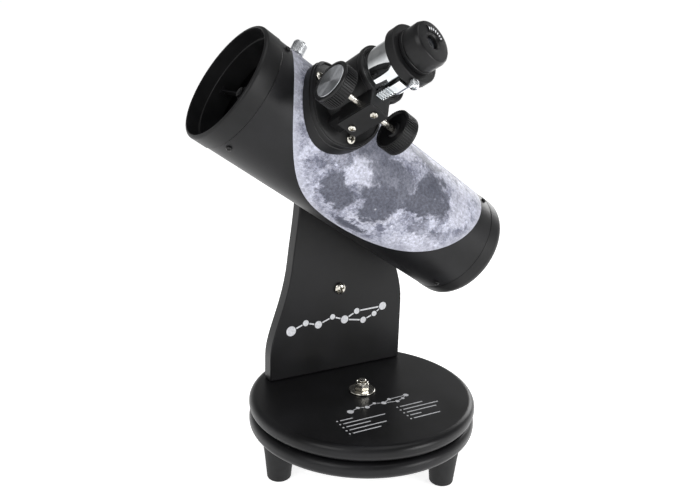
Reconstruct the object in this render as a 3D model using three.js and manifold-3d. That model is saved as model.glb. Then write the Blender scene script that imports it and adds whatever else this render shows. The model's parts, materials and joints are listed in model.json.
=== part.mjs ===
// Table-top reflector telescope on a rocker stand: two round boards, one side arm and a short tube
// with a rack-and-pinion focuser. Millimetres, +Z up, standing on z = 0, the tube's mouth towards -Y.
import * as THREE from 'three';
import { mergeVertices } from 'three/addons/utils/BufferGeometryUtils.js';
import Module from 'manifold-3d';

const wasm = await Module();
wasm.setup();

// ---- Driving dimensions ----
// The turntable's axis, seen from the middle of the telescope's box.
const AZIMUTH_X = -13.655;
const AZIMUTH_Y = 18.915;
const GAP = 0.3;                    // air left between pieces that touch

// Boards and feet
const BOARD_RADIUS = 110;
const BOARD_ROUNDING = 6.5;
const FOOT_HEIGHT = 38.5;
const LOWER_BOARD = 15;
const BOARD_SPACING = 2;
const UPPER_BOARD = 14.5;
const FOOT_RING_RADIUS = 89;
const FOOT_FIRST_ANGLE = -88.7;     // degrees from +X
const LOWER_TOP = FOOT_HEIGHT + LOWER_BOARD;
const TURNTABLE_BOTTOM = LOWER_TOP + BOARD_SPACING;
const TURNTABLE_TOP = TURNTABLE_BOTTOM + UPPER_BOARD;
const AXLE_RADIUS = 4;              // M8 azimuth bolt and altitude stud
const AXLE_TOP = TURNTABLE_TOP + 12;

// Side arm
const ARM_FACE_X = -54;
const ARM_THICKNESS = 15;
const ARM_BACK_X = ARM_FACE_X - ARM_THICKNESS;
const ARM_FRONT_Y = -74.2;
const ARM_REAR_Y = 75.7;
const ARM_HEAD_RADIUS = 43;
const PIVOT_HEIGHT = 206;           // above the turntable's top
const PIVOT_Z = TURNTABLE_TOP + PIVOT_HEIGHT;
const ARM_SCREW_Y = [-45, 45];
const ARM_BOLT = { y: 1, z: TURNTABLE_TOP + 89 };

// Tube, measured in stations from the front rim
const TUBE_AXIS_X = 6;
const TUBE_TILT = 33.9;             // degrees above the horizon
const TUBE_LENGTH = 293.9;
const PIVOT_STATION = 168;
const RING_RADIUS = 52;
const TUBE_RADIUS = 51.5;
const TUBE_BORE = 50.4;
const RING_END = 16.3;
const CAP_START = 274.3;
const VANE_STATION = 22;
const CELL_SCREW_STATION = 267;
const TRIO_ANGLES = [28.5, 148.5, -91.5];   // degrees from the tube's top towards +X
const MIRROR_RADIUS = 38.1;
const MIRROR_FRONT = 263.4;
const MIRROR_BACK = 271.6;
const MIRROR_SAG = 1.2;
const FINDER_STATION = 44;
const FINDER_ANGLES = [-11, -46];

// Focuser, measured in heights from the tube's axis
const FOCUSER_STATION = 73.8;
const FOCUSER_ANGLE = 52.72;        // degrees from the tube's top towards +X
const FLANGE_RADIUS = 37.3;
const FLANGE_X = -3;                // the flange's centre, a little behind the drawtube's
const FLANGE_SEAT = 61;             // its curved faces, as radii about the tube's axis
const FLANGE_RIM = 62.2;
const HOUSING_RADIUS = 22.6;
const HOUSING_TOP = 103.2;
const DRAWTUBE_RADIUS = 19.6;
const DRAWTUBE_BORE = 16.2;
const DRAWTUBE_BOTTOM = 58;
const COLLAR_RADIUS = 23.6;
const COLLAR_BOTTOM = 126.7;
const COLLAR_TOP = 135.3;
const COLLAR_SEAT = 131;            // the drawtube's end, which the collar sits on
const THUMB_SCREW_HEIGHT = 133.2;
const THUMB_SCREW_TURN = 9;         // degrees from +Y towards -X
const EYEPIECE_TOP = 153;
const EYEPIECE_RADIUS = 17.8;
const BARREL_RADIUS = 15.875;       // a 1.25 inch eyepiece
const GEAR_MODULE = 0.7;
const PINION_TEETH = 13;
const PINION_PITCH_RADIUS = GEAR_MODULE * PINION_TEETH / 2;
const SHAFT = { y: 29.3, z: 90.9, radius: 2.5 };
const RACK_PITCH_Y = SHAFT.y - PINION_PITCH_RADIUS;
const KNOB_RADIUS = 16.9;
const KNOB_OUTER = 38.7;
const BOX_SIDES = [-10.5, 8.5];     // the pinion box along the tube's axis
const BOX_FACE = 35.2;
const FLANGE_SCREW_RADIUS = 30.6;
const FLANGE_SCREW_ANGLES = [-3, 117, 237];
const COVER_SCREW_HEIGHTS = [98, 75];

// Facets
const TUBE_SIDES = 40;
const BOARD_SIDES = 48;
const ROUND_SIDES = 28;
const KNOB_SIDES = 24;
const SCREW_SIDES = 8;

// ---- Materials ----
const finish = (color, roughness, metalness) =>
  new THREE.MeshStandardMaterial({ color, roughness, metalness });
const blackLaminate = finish(0x242426, 0.45, 0);
const blackPaint = finish(0x2b2b2c, 0.5, 0.1);
const blackPlastic = finish(0x1d1d1e, 0.5, 0);
const rubber = finish(0x191919, 0.85, 0);
const nylon = finish(0xd9d6cc, 0.5, 0);
const nickel = finish(0xc9c7c0, 0.25, 1);
const chrome = finish(0xe4e4e4, 0.08, 1);
const aluminium = finish(0xd4d6d8, 0.3, 1);
const steel = finish(0xa9a8a4, 0.35, 1);
const blackSteel = finish(0x171717, 0.4, 1);
const silvering = finish(0xf0f3f5, 0.02, 1);
const glass = finish(0x3a4a48, 0.05, 0);

// ---- Solids ----
function toSolid(geometry) {
  const bare = new THREE.BufferGeometry();
  bare.setAttribute('position', geometry.getAttribute('position').clone());
  if (geometry.index) {
    bare.setIndex(geometry.index.clone());
  }
  const merged = mergeVertices(bare, 1e-4);
  const mesh = new wasm.Mesh({
    numProp: 3,
    vertProperties: new Float32Array(merged.getAttribute('position').array),
    triVerts: new Uint32Array(merged.index.array),
  });
  return new wasm.Manifold(mesh);
}

function toGeometry(solid) {
  const mesh = solid.getMesh();
  const geometry = new THREE.BufferGeometry();
  geometry.setAttribute('position', new THREE.BufferAttribute(new Float32Array(mesh.vertProperties), 3));
  geometry.setIndex(new THREE.BufferAttribute(new Uint32Array(mesh.triVerts), 1));
  geometry.computeVertexNormals();
  return geometry;
}

function join(first, ...others) {
  return toGeometry(others.reduce((solid, other) => solid.add(toSolid(other)), toSolid(first)));
}

function cut(body, ...tools) {
  return toGeometry(tools.reduce((solid, tool) => solid.subtract(toSolid(tool)), toSolid(body)));
}

function common(body, ...others) {
  return toGeometry(others.reduce((solid, other) => solid.intersect(toSolid(other)), toSolid(body)));
}

// A turned piece about Z. Its profile lists [radius, z] from the axis round to the axis, or round a loop.
function turned(profile, sides) {
  const onAxis = profile[0][0] === 0;
  const loop = onAxis ? profile : [...profile, profile[0]];
  const points = loop.map(([radius, z]) => new THREE.Vector2(radius, z));
  const geometry = new THREE.LatheGeometry(points, sides);
  geometry.rotateX(Math.PI / 2);
  const solid = toSolid(geometry);
  return solid.volume() < 0 ? toGeometry(toSolid(flipped(geometry))) : toGeometry(solid);
}

function flipped(geometry) {
  const copy = geometry.clone();
  const index = copy.index.array;
  for (let i = 0; i < index.length; i += 3) {
    [index[i], index[i + 1]] = [index[i + 1], index[i]];
  }
  return copy;
}

function rod(radius, from, to, sides = SCREW_SIDES) {
  const geometry = new THREE.CylinderGeometry(radius, radius, to - from, sides);
  geometry.rotateX(Math.PI / 2);
  geometry.translate(0, 0, (from + to) / 2);
  return geometry;
}

function block([x0, x1], [y0, y1], [z0, z1]) {
  const geometry = new THREE.BoxGeometry(x1 - x0, y1 - y0, z1 - z0);
  geometry.translate((x0 + x1) / 2, (y0 + y1) / 2, (z0 + z1) / 2);
  return geometry;
}

// Turns a piece made along Z so that it lies along X or Y.
const alongX = (geometry) => geometry.rotateY(Math.PI / 2);
const alongY = (geometry) => geometry.rotateX(-Math.PI / 2);

const radians = THREE.MathUtils.degToRad;

// Part of a circle as profile points, about a centre, from one angle to another in degrees.
function arc([cx, cy], radius, from, to, steps) {
  return Array.from({ length: steps + 1 }, (_, i) => {
    const angle = radians(from + (to - from) * i / steps);
    return [cx + radius * Math.cos(angle), cy + radius * Math.sin(angle)];
  });
}

// A pan-head screw standing on z = 0, its shank going down.
function panScrew({ headRadius, headHeight, shankRadius, length }) {
  return turned([
    [0, -length],
    [shankRadius, -length],
    [shankRadius, 0],
    [headRadius, 0],
    [headRadius, headHeight * 0.45],
    [headRadius * 0.72, headHeight],
    [0, headHeight],
  ], SCREW_SIDES);
}

function add(parent, name, geometry, material) {
  const mesh = new THREE.Mesh(geometry, material);
  mesh.name = name;
  parent.add(mesh);
  return mesh;
}

// ---- Groups ----
const telescope = new THREE.Group();
const stand = new THREE.Group();
stand.position.set(AZIMUTH_X, AZIMUTH_Y, 0);
telescope.add(stand);

// In the tube's group +Z runs to the sky, +Y is the tube's top and +X points away from the arm.
const tube = new THREE.Group();
tube.position.set(TUBE_AXIS_X, 0, PIVOT_Z);
tube.rotation.x = radians(90 - TUBE_TILT);
stand.add(tube);

// In the focuser's group +Z runs out of the tube, +X to the sky and +Y across, to the pinion's side.
const focuser = new THREE.Group();
const outward = new THREE.Vector3(Math.sin(radians(FOCUSER_ANGLE)), Math.cos(radians(FOCUSER_ANGLE)), 0);
const across = new THREE.Vector3(outward.y, -outward.x, 0);
const skyward = new THREE.Vector3(0, 0, 1);
focuser.quaternion.setFromRotationMatrix(new THREE.Matrix4().makeBasis(skyward, across, outward));
focuser.position.z = PIVOT_STATION - FOCUSER_STATION;
focuser.updateMatrix();
tube.add(focuser);

const station = (s) => PIVOT_STATION - s;

// The frame of a radial screw: its +Z points out of the tube at an angle from the tube's top.
function radialFrame(s, degrees) {
  const angle = radians(degrees);
  const out = new THREE.Vector3(Math.sin(angle), Math.cos(angle), 0);
  const side = new THREE.Vector3().crossVectors(skyward, out);
  return new THREE.Matrix4().makeBasis(side, skyward, out).setPosition(0, 0, station(s));
}

const radialHole = (radius, from, to, s, degrees) =>
  rod(radius, from, to).applyMatrix4(radialFrame(s, degrees));

// ---- Base ----
function boardProfile(bottom, top) {
  const r = BOARD_ROUNDING;
  return [
    [0, bottom],
    ...arc([BOARD_RADIUS - r, bottom + r], r, -90, 0, 3),
    ...arc([BOARD_RADIUS - r, top - r], r, 0, 90, 3),
    [0, top],
  ];
}

const footAngles = [0, 1, 2].map((i) => radians(FOOT_FIRST_ANGLE + 120 * i));

function makeBase() {
  const pilotHoles = footAngles.map((angle) => rod(2.6, FOOT_HEIGHT - 1, FOOT_HEIGHT + 11.5)
    .translate(FOOT_RING_RADIUS * Math.cos(angle), FOOT_RING_RADIUS * Math.sin(angle), 0));
  add(stand, 'base_board', cut(
    turned(boardProfile(FOOT_HEIGHT, LOWER_TOP), BOARD_SIDES),
    rod(AXLE_RADIUS + 0.4, FOOT_HEIGHT - 1, LOWER_TOP + 1, 16),
    rod(9.5, FOOT_HEIGHT - 1, FOOT_HEIGHT + 6, 16),
    ...pilotHoles,
  ), blackLaminate);

  const footTop = FOOT_HEIGHT - GAP;
  const foot = turned([
    [6, 0], [8.8, 0], [10.4, 1.6], [13.5, footTop], [2.7, footTop], [2.7, 22], [6, 22],
  ], 16);
  const screw = panScrew({ headRadius: 5, headHeight: 3, shankRadius: 2.3, length: 28 })
    .rotateX(Math.PI);
  footAngles.forEach((angle, i) => {
    const place = [FOOT_RING_RADIUS * Math.cos(angle), FOOT_RING_RADIUS * Math.sin(angle)];
    add(stand, `foot_${i + 1}`, foot, rubber).position.set(...place, 0);
    add(stand, `foot_screw_${i + 1}`, screw, nickel).position.set(...place, 22 - GAP);
  });

  add(stand, 'glide_ring', turned([
    [62, LOWER_TOP + GAP], [76, LOWER_TOP + GAP], [76, TURNTABLE_BOTTOM - GAP], [62, TURNTABLE_BOTTOM - GAP],
  ], ROUND_SIDES), nylon);

  add(stand, 'azimuth_bolt', join(
    rod(7.5, FOOT_HEIGHT + 0.5, FOOT_HEIGHT + 5.7, 6),
    rod(AXLE_RADIUS, FOOT_HEIGHT + 5, AXLE_TOP, 16),
  ), nickel);
  const washerTop = TURNTABLE_TOP + GAP + 1.5;
  add(stand, 'azimuth_washer', turned([
    [AXLE_RADIUS + GAP, TURNTABLE_TOP + GAP], [13, TURNTABLE_TOP + GAP],
    [13, washerTop], [AXLE_RADIUS + GAP, washerTop],
  ], 24), nickel);
  const nut = washerTop + GAP;
  add(stand, 'azimuth_lock_nut', cut(
    join(rod(7.5, nut, nut + 6.2, 6), rod(5.9, nut + 6, nut + 8, 16)),
    rod(AXLE_RADIUS + GAP, nut - 1, nut + 9, 16),
  ), nickel);
}

// ---- Turntable and arm ----
function armOutline() {
  const head = PIVOT_HEIGHT;
  const outline = new THREE.Shape();
  outline.moveTo(ARM_FRONT_Y, GAP);
  outline.lineTo(ARM_REAR_Y, GAP);
  outline.lineTo(ARM_REAR_Y, 65);
  outline.bezierCurveTo(ARM_REAR_Y, 105, ARM_HEAD_RADIUS, 145, ARM_HEAD_RADIUS, head);
  outline.absarc(0, head, ARM_HEAD_RADIUS, 0, Math.PI, false);
  outline.bezierCurveTo(-ARM_HEAD_RADIUS, 170, -48.5, 145, -51, 120);
  outline.bezierCurveTo(-56, 75, ARM_FRONT_Y, 50, ARM_FRONT_Y, 24);
  outline.closePath();
  return outline;
}

function makeTurntable() {
  const screwX = ARM_FACE_X - ARM_THICKNESS / 2;
  const screwHoles = ARM_SCREW_Y.flatMap((y) => [
    rod(2.5, TURNTABLE_BOTTOM - 1, TURNTABLE_TOP + 35.5).translate(screwX, y, 0),
    rod(5.3, TURNTABLE_BOTTOM - 1, TURNTABLE_BOTTOM + 3.5).translate(screwX, y, 0),
  ]);
  add(stand, 'turntable_board', cut(
    turned(boardProfile(TURNTABLE_BOTTOM, TURNTABLE_TOP), BOARD_SIDES),
    rod(AXLE_RADIUS + 0.4, TURNTABLE_BOTTOM - 1, TURNTABLE_TOP + 1, 16),
    ...screwHoles,
  ), blackLaminate);

  // The outline is drawn on Y and Z, so the extrusion is stood up and runs along X.
  const edge = 1;
  const board = new THREE.ExtrudeGeometry(armOutline(), {
    depth: ARM_THICKNESS - 2 * edge,
    bevelThickness: edge,
    bevelSize: edge,
    bevelOffset: -edge,
    bevelSegments: 1,
    curveSegments: 10,
  });
  board.applyMatrix4(new THREE.Matrix4().makeBasis(
    new THREE.Vector3(0, 1, 0), new THREE.Vector3(0, 0, 1), new THREE.Vector3(1, 0, 0),
  ));
  board.translate(ARM_BACK_X + edge, 0, TURNTABLE_TOP);
  add(stand, 'side_arm', cut(
    board,
    ...screwHoles,
    alongX(rod(AXLE_RADIUS + 0.6, ARM_BACK_X - 1, ARM_FACE_X + 1, 24)).translate(0, 0, PIVOT_Z),
    alongX(rod(2.4, ARM_BACK_X - 1, ARM_FACE_X + 1)).translate(0, ARM_BOLT.y, ARM_BOLT.z),
  ), blackLaminate);

  const armScrew = panScrew({ headRadius: 5, headHeight: 2.8, shankRadius: 2.2, length: 46 })
    .rotateX(Math.PI);
  ARM_SCREW_Y.forEach((y, i) => {
    add(stand, `arm_screw_${i + 1}`, armScrew, nickel)
      .position.set(screwX, y, TURNTABLE_BOTTOM + 3.2);
  });

  const bolt = panScrew({ headRadius: 4.6, headHeight: 2.8, shankRadius: 2.1, length: ARM_THICKNESS + 4.5 });
  add(stand, 'arm_bolt', alongX(bolt), nickel).position.set(ARM_FACE_X + GAP, ARM_BOLT.y, ARM_BOLT.z);
  const nut = cut(rod(4.6, 0, 3.2, 6), rod(2.4, -1, 4));
  add(stand, 'arm_bolt_nut', alongX(nut), nickel)
    .position.set(ARM_BACK_X - GAP - 3.2, ARM_BOLT.y, ARM_BOLT.z);

  const pad = turned([[5, 0], [28, 0], [28, 1.4], [5, 1.4]], ROUND_SIDES);
  add(stand, 'altitude_pad', alongX(pad), nylon).position.set(ARM_FACE_X + GAP, 0, PIVOT_Z);
}

function makeAltitudeKnob() {
  const washer = turned([[4.5, 0], [12, 0], [12, 1.2], [4.5, 1.2]], 20);
  add(stand, 'altitude_washer', alongX(washer), nickel).position.set(ARM_BACK_X - GAP - 1.2, 0, PIVOT_Z);

  // An eight-lobed hand knob on a stud that reaches through the arm into the tube's saddle.
  const lobes = new THREE.Shape();
  const steps = 48;
  for (let i = 0; i < steps; i += 1) {
    const angle = 2 * Math.PI * i / steps;
    const radius = 19.5 + 1.8 * Math.cos(8 * angle);
    lobes[i === 0 ? 'moveTo' : 'lineTo'](radius * Math.cos(angle), radius * Math.sin(angle));
  }
  lobes.closePath();
  const grip = new THREE.ExtrudeGeometry(lobes, {
    depth: 9, bevelThickness: 1.5, bevelSize: 1.5, bevelOffset: -1.5, bevelSegments: 1,
  });
  const knob = join(
    grip.translate(0, 0, 1.5),
    rod(11, 11, 17.5, 32),
    rod(AXLE_RADIUS, 17, 17.8 + ARM_THICKNESS + 6.5, 16),
  );
  add(stand, 'altitude_knob', alongX(knob), blackPlastic)
    .position.set(ARM_BACK_X - 2 * GAP - 1.2 - 17.5, 0, PIVOT_Z);
}

// ---- Tube ----
function makeTube() {
  const trioHoles = (from, to) => [VANE_STATION, CELL_SCREW_STATION].flatMap((s) =>
    TRIO_ANGLES.map((angle) => radialHole(1.8, from, to, s, angle)));
  const saddleStations = [PIVOT_STATION - 24, PIVOT_STATION + 24];

  add(tube, 'tube_shell', cut(
    turned([
      [TUBE_BORE, station(RING_END + GAP)], [TUBE_BORE, station(CAP_START - GAP)],
      [TUBE_RADIUS, station(CAP_START - GAP)], [TUBE_RADIUS, station(RING_END + GAP)],
    ], TUBE_SIDES),
    ...trioHoles(46, 54),
    ...FINDER_ANGLES.map((angle) => radialHole(2.4, 46, 54, FINDER_STATION, angle)),
    ...saddleStations.map((s) => radialHole(2.3, 46, 54, s, -90)),
    ...flangeScrewFrames().map((frame) => rod(2.1, 40, 60).applyMatrix4(frame)),
    radialHole(22, 30, 60, FOCUSER_STATION, FOCUSER_ANGLE),
    block([-4.7, 4.7], [0, 27], [30, 60]).applyMatrix4(focuser.matrix),
  ), blackPaint);

  // The moulded front ring: a rolled lip, a stepped throat and a skirt inside the tube.
  add(tube, 'front_ring', cut(
    turned([
      [RING_RADIUS, station(RING_END)], [RING_RADIUS, station(2.4)], [51.5, station(0.9)],
      [50.4, station(0)], [49.4, station(0.4)], [48.9, station(1.4)], [48.9, station(11.9)],
      [47.3, station(11.9)], [47.3, station(30)], [50.1, station(30)], [50.1, station(RING_END)],
    ], TUBE_SIDES),
    ...trioHoles(40, 54),
  ), blackPlastic);

  // The rear cell: a cap with a rounded edge, a skirt inside the tube and a cup for the mirror.
  add(tube, 'rear_cell', cut(
    turned([
      [0, station(TUBE_LENGTH)],
      ...arc([42.4, station(TUBE_LENGTH - 9.4)], 9.4, -90, 0, 3),
      [51.8, station(CAP_START)], [50.1, station(CAP_START)], [50.1, station(258.5)],
      [48.4, station(258.5)], [48.4, station(284)], [43, station(290.5)], [41.2, station(290.5)],
      [41.2, station(262.8)], [38.5, station(262.8)], [38.5, station(272)], [34, station(272)],
      [34, station(290.5)], [0, station(290.5)],
    ], TUBE_SIDES),
    ...trioHoles(45, 54),
  ), blackPlastic);

  const face = Array.from({ length: 7 }, (_, i) => {
    const radius = MIRROR_RADIUS * (1 - i / 6);
    return [radius, station(MIRROR_FRONT + MIRROR_SAG * (1 - (radius / MIRROR_RADIUS) ** 2))];
  });
  add(tube, 'primary_mirror', turned([
    [0, station(MIRROR_BACK)], [MIRROR_RADIUS, station(MIRROR_BACK)], ...face,
  ], ROUND_SIDES), silvering);
  add(tube, 'mirror_ring', turned([
    [37, station(262.5)], [41.2, station(262.5)], [41.2, station(261)], [37, station(261)],
  ], ROUND_SIDES), blackPlastic);

  const setScrew = panScrew({ headRadius: 2.6, headHeight: 1.6, shankRadius: 1.4, length: 6.6 })
    .translate(0, 0, TUBE_RADIUS + GAP);
  TRIO_ANGLES.forEach((angle, i) => {
    add(tube, `vane_screw_${i + 1}`, setScrew, blackSteel)
      .applyMatrix4(radialFrame(VANE_STATION, angle));
    add(tube, `cell_screw_${i + 1}`, setScrew, blackSteel)
      .applyMatrix4(radialFrame(CELL_SCREW_STATION, angle));
  });

  makeSecondary();

  // The saddle between the tube and the arm, and its two screws from inside the tube.
  const saddleFace = ARM_FACE_X - TUBE_AXIS_X + 2.0;
  add(tube, 'saddle', cut(
    block([saddleFace, -44], [-21, 21], [-34, 34]),
    rod(TUBE_RADIUS + GAP, -40, 40, TUBE_SIDES),
    alongX(rod(AXLE_RADIUS + 0.5, saddleFace - 1, -53, 16)),
    ...saddleStations.map((s) => radialHole(2.3, 46, 57, s, -90)),
  ), blackPlastic);
  const saddleScrew = panScrew({ headRadius: 3.6, headHeight: 2.2, shankRadius: 1.9, length: 6.5 })
    .rotateX(Math.PI)
    .translate(0, 0, TUBE_BORE - 0.45);
  saddleStations.forEach((s, i) => {
    add(tube, `saddle_screw_${i + 1}`, saddleScrew, nickel).applyMatrix4(radialFrame(s, -90));
  });

  // Studs and knurled nuts that a finder's foot is clamped under.
  const stud = turned([
    [0, 48.6], [4.5, 48.6], [4.5, 49.7], [2, 49.7], [2, 66], [0, 66],
  ], SCREW_SIDES);
  const nut = turned([
    [2.3, 53.2], [5, 53.2], [6.2, 54], [6.2, 65], [5.4, 65.8], [2.3, 65.8],
  ], 16);
  FINDER_ANGLES.forEach((angle, i) => {
    const frame = radialFrame(FINDER_STATION, angle);
    add(tube, `finder_stud_${i + 1}`, stud, nickel).applyMatrix4(frame);
    add(tube, `finder_nut_${i + 1}`, nut, aluminium).applyMatrix4(frame);
  });
}

function makeSecondary() {
  const hub = rod(6, station(26), station(18), 24);
  const vanes = TRIO_ANGLES.flatMap((angle) => {
    const frame = radialFrame(VANE_STATION, angle);
    return [
      block([-0.5, 0.5], [-3.5, 3.5], [3, 46.2]).applyMatrix4(frame),
      block([-3.4, 3.4], [-4, 4], [45.4, 46.9]).applyMatrix4(frame),
    ];
  });
  const tapped = TRIO_ANGLES.map((angle) => radialHole(1.7, 44, 48, VANE_STATION, angle));
  add(tube, 'spider', cut(join(hub, ...vanes), rod(2.8, station(30), station(14)), ...tapped), blackSteel);

  // The diagonal's plane stands at 45 degrees between the tube's axis and the focuser's.
  const normal = new THREE.Vector3().subVectors(outward, skyward).normalize();
  const inPlane = new THREE.Vector3().crossVectors(normal, across);
  const halfSpace = (offset) => {
    const frame = new THREE.Matrix4().makeBasis(across, inPlane, normal);
    frame.setPosition(0, 0, station(FOCUSER_STATION));
    return block([-60, 60], [-60, 60], [offset, offset + 90]).applyMatrix4(frame);
  };
  const stick = rod(12, station(FOCUSER_STATION + 24), station(56), 32);
  add(tube, 'diagonal_holder', cut(
    join(stick, rod(2.5, station(57), station(14.5))),
    halfSpace(-2.3),
  ), blackPlastic);
  add(tube, 'diagonal_mirror', cut(common(stick, halfSpace(-2)), halfSpace(0)), silvering);
}

// ---- Focuser ----
function gearOutline() {
  const shape = new THREE.Shape();
  const tip = PINION_PITCH_RADIUS + 0.85 * GEAR_MODULE;
  const root = PINION_PITCH_RADIUS - 1.15 * GEAR_MODULE;
  const pitch = 2 * Math.PI / PINION_TEETH;
  // Tooth half-widths, as parts of the tooth's pitch, at the root, the pitch circle and the tip.
  const flank = [[root, 0.3], [PINION_PITCH_RADIUS, 0.19], [tip, 0.09]];
  const tooth = [
    ...flank.map(([radius, half]) => [radius, -half]),
    ...flank.toReversed().map(([radius, half]) => [radius, half]),
  ];
  for (let i = 0; i < PINION_TEETH; i += 1) {
    tooth.forEach(([radius, offset], k) => {
      const angle = -Math.PI / 2 + (i + offset) * pitch;
      const step = i + k === 0 ? 'moveTo' : 'lineTo';
      shape[step](radius * Math.cos(angle), radius * Math.sin(angle));
    });
  }
  shape.closePath();
  return shape;
}

// The rack's outline on its length (first axis) and its height off the drawtube (second axis).
function rackOutline(from, teethEnd, to) {
  const pitch = Math.PI * GEAR_MODULE;
  const base = DRAWTUBE_RADIUS + GAP;
  const root = RACK_PITCH_Y - 1.15 * GEAR_MODULE;
  const tip = RACK_PITCH_Y + 0.85 * GEAR_MODULE;
  const shape = new THREE.Shape();
  shape.moveTo(from, base);
  shape.lineTo(to, base);
  shape.lineTo(to, tip);
  shape.lineTo(teethEnd, tip);
  // Gaps are centred on the pinion's axis, so that a tooth of the pinion stands in one at rest.
  const lastGap = Math.floor((teethEnd - SHAFT.z) / pitch - 0.5);
  const firstGap = Math.ceil((from - SHAFT.z) / pitch + 0.5);
  for (let i = lastGap; i >= firstGap; i -= 1) {
    const centre = SHAFT.z + i * pitch;
    shape.lineTo(centre + 0.42 * pitch, tip);
    shape.lineTo(centre + 0.22 * pitch, root);
    shape.lineTo(centre - 0.22 * pitch, root);
    shape.lineTo(centre - 0.42 * pitch, tip);
  }
  shape.lineTo(from, tip);
  shape.closePath();
  return shape;
}

// The flange's screws point at the tube's axis, so each has a radial frame of its own.
function flangeScrewFrames() {
  return FLANGE_SCREW_ANGLES.map(radians).map((angle) => {
    const x = FLANGE_X + FLANGE_SCREW_RADIUS * Math.cos(angle);
    const y = FLANGE_SCREW_RADIUS * Math.sin(angle);
    const lean = THREE.MathUtils.radToDeg(Math.asin(y / FLANGE_SEAT));
    return radialFrame(FOCUSER_STATION - x, FOCUSER_ANGLE + lean);
  });
}

function makeFocuser() {
  const coverX = (BOX_SIDES[0] + BOX_SIDES[1]) / 2;
  const disc = (radius) => rod(radius, 25, 75, ROUND_SIDES).translate(FLANGE_X, 0, 0);
  const roll = (radius) => alongX(rod(radius, -60, 60, TUBE_SIDES));
  const plate = common(disc(FLANGE_RADIUS), roll(FLANGE_SEAT));
  const rim = cut(common(disc(FLANGE_RADIUS - 1), roll(FLANGE_RIM)), disc(FLANGE_RADIUS - 2.4));
  const housing = turned([
    [0, 40], [HOUSING_RADIUS, 40], [HOUSING_RADIUS, 99.2],
    [COLLAR_RADIUS, 100.2], [COLLAR_RADIUS, 102.6], [23, HOUSING_TOP], [0, HOUSING_TOP],
  ], ROUND_SIDES);
  const pinionBox = block(BOX_SIDES, [5, BOX_FACE], [40, HOUSING_TOP]);
  const shaftPlace = [0, SHAFT.y, SHAFT.z];
  const flangeHoles = flangeScrewFrames()
    .map((frame) => rod(2.1, 40, 70).applyMatrix4(frame).applyMatrix4(focuser.matrix.clone().invert()));
  add(focuser, 'focuser_body', cut(
    join(plate, rim, housing, pinionBox),
    roll(TUBE_RADIUS + GAP),
    rod(DRAWTUBE_RADIUS + GAP, 20, 110, ROUND_SIDES),
    block([-4.3, 4.3], [0, 26.1], [20, 110]),
    alongX(rod(6.2, -5, 5, 16)).translate(...shaftPlace),
    alongX(rod(SHAFT.radius + GAP, -20, 20)).translate(...shaftPlace),
    ...flangeHoles,
    ...COVER_SCREW_HEIGHTS.map((z) => alongY(rod(1.6, 30, 40)).translate(coverX, 0, z)),
  ), blackPlastic);

  const flangeScrew = panScrew({ headRadius: 3.8, headHeight: 2.6, shankRadius: 1.8, length: 11.5 })
    .translate(0, 0, FLANGE_SEAT + GAP);
  flangeScrewFrames().forEach((frame, i) => {
    add(tube, `focuser_screw_${i + 1}`, flangeScrew, nickel).applyMatrix4(frame);
  });

  add(focuser, 'pinion_cover', cut(
    block(BOX_SIDES, [BOX_FACE + GAP, BOX_FACE + 2.3], [64, HOUSING_TOP]),
    ...COVER_SCREW_HEIGHTS.map((z) => alongY(rod(1.6, 30, 40)).translate(coverX, 0, z)),
  ), blackPlastic);
  const coverScrew = panScrew({ headRadius: 3.1, headHeight: 1.9, shankRadius: 1.3, length: 6 });
  COVER_SCREW_HEIGHTS.forEach((z, i) => {
    add(focuser, `cover_screw_${i + 1}`, alongY(coverScrew.clone()), nickel)
      .position.set(coverX, BOX_FACE + 2.6, z);
  });

  // The pinion is cut on its own shaft.
  const gear = new THREE.ExtrudeGeometry(gearOutline(), { depth: 8, bevelEnabled: false });
  const shaftEnd = KNOB_OUTER - 2;
  const shaft = join(
    alongX(rod(SHAFT.radius, -shaftEnd, shaftEnd)),
    gear.applyMatrix4(new THREE.Matrix4().makeBasis(
      new THREE.Vector3(0, 0, 1), new THREE.Vector3(0, 1, 0), new THREE.Vector3(-1, 0, 0),
    )).translate(4, 0, 0),
  );
  add(focuser, 'pinion_shaft', shaft, steel).position.set(...shaftPlace);

  const knob = turned([
    [2.8, 27.2], [6, 27.2], [6.5, 28.8], [14.2, 28.2], [15.2, 26.4], [16, 26.2], [KNOB_RADIUS, 27.4],
    [KNOB_RADIUS, 36.4], [15.7, KNOB_OUTER], [13.9, KNOB_OUTER], [13.9, 37.0], [2.8, 37.0],
  ], KNOB_SIDES);
  const inlay = rod(13.6, 37.0 + GAP, KNOB_OUTER - 0.3, KNOB_SIDES);
  [['front', 1], ['rear', -1]].forEach(([side, sign]) => {
    const turn = new THREE.Matrix4().makeRotationY(sign * Math.PI / 2);
    add(focuser, `focus_knob_${side}`, knob.clone().applyMatrix4(turn), blackPlastic)
      .position.set(...shaftPlace);
    add(focuser, `knob_inlay_${side}`, inlay.clone().applyMatrix4(turn), aluminium)
      .position.set(...shaftPlace);
  });
}

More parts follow.
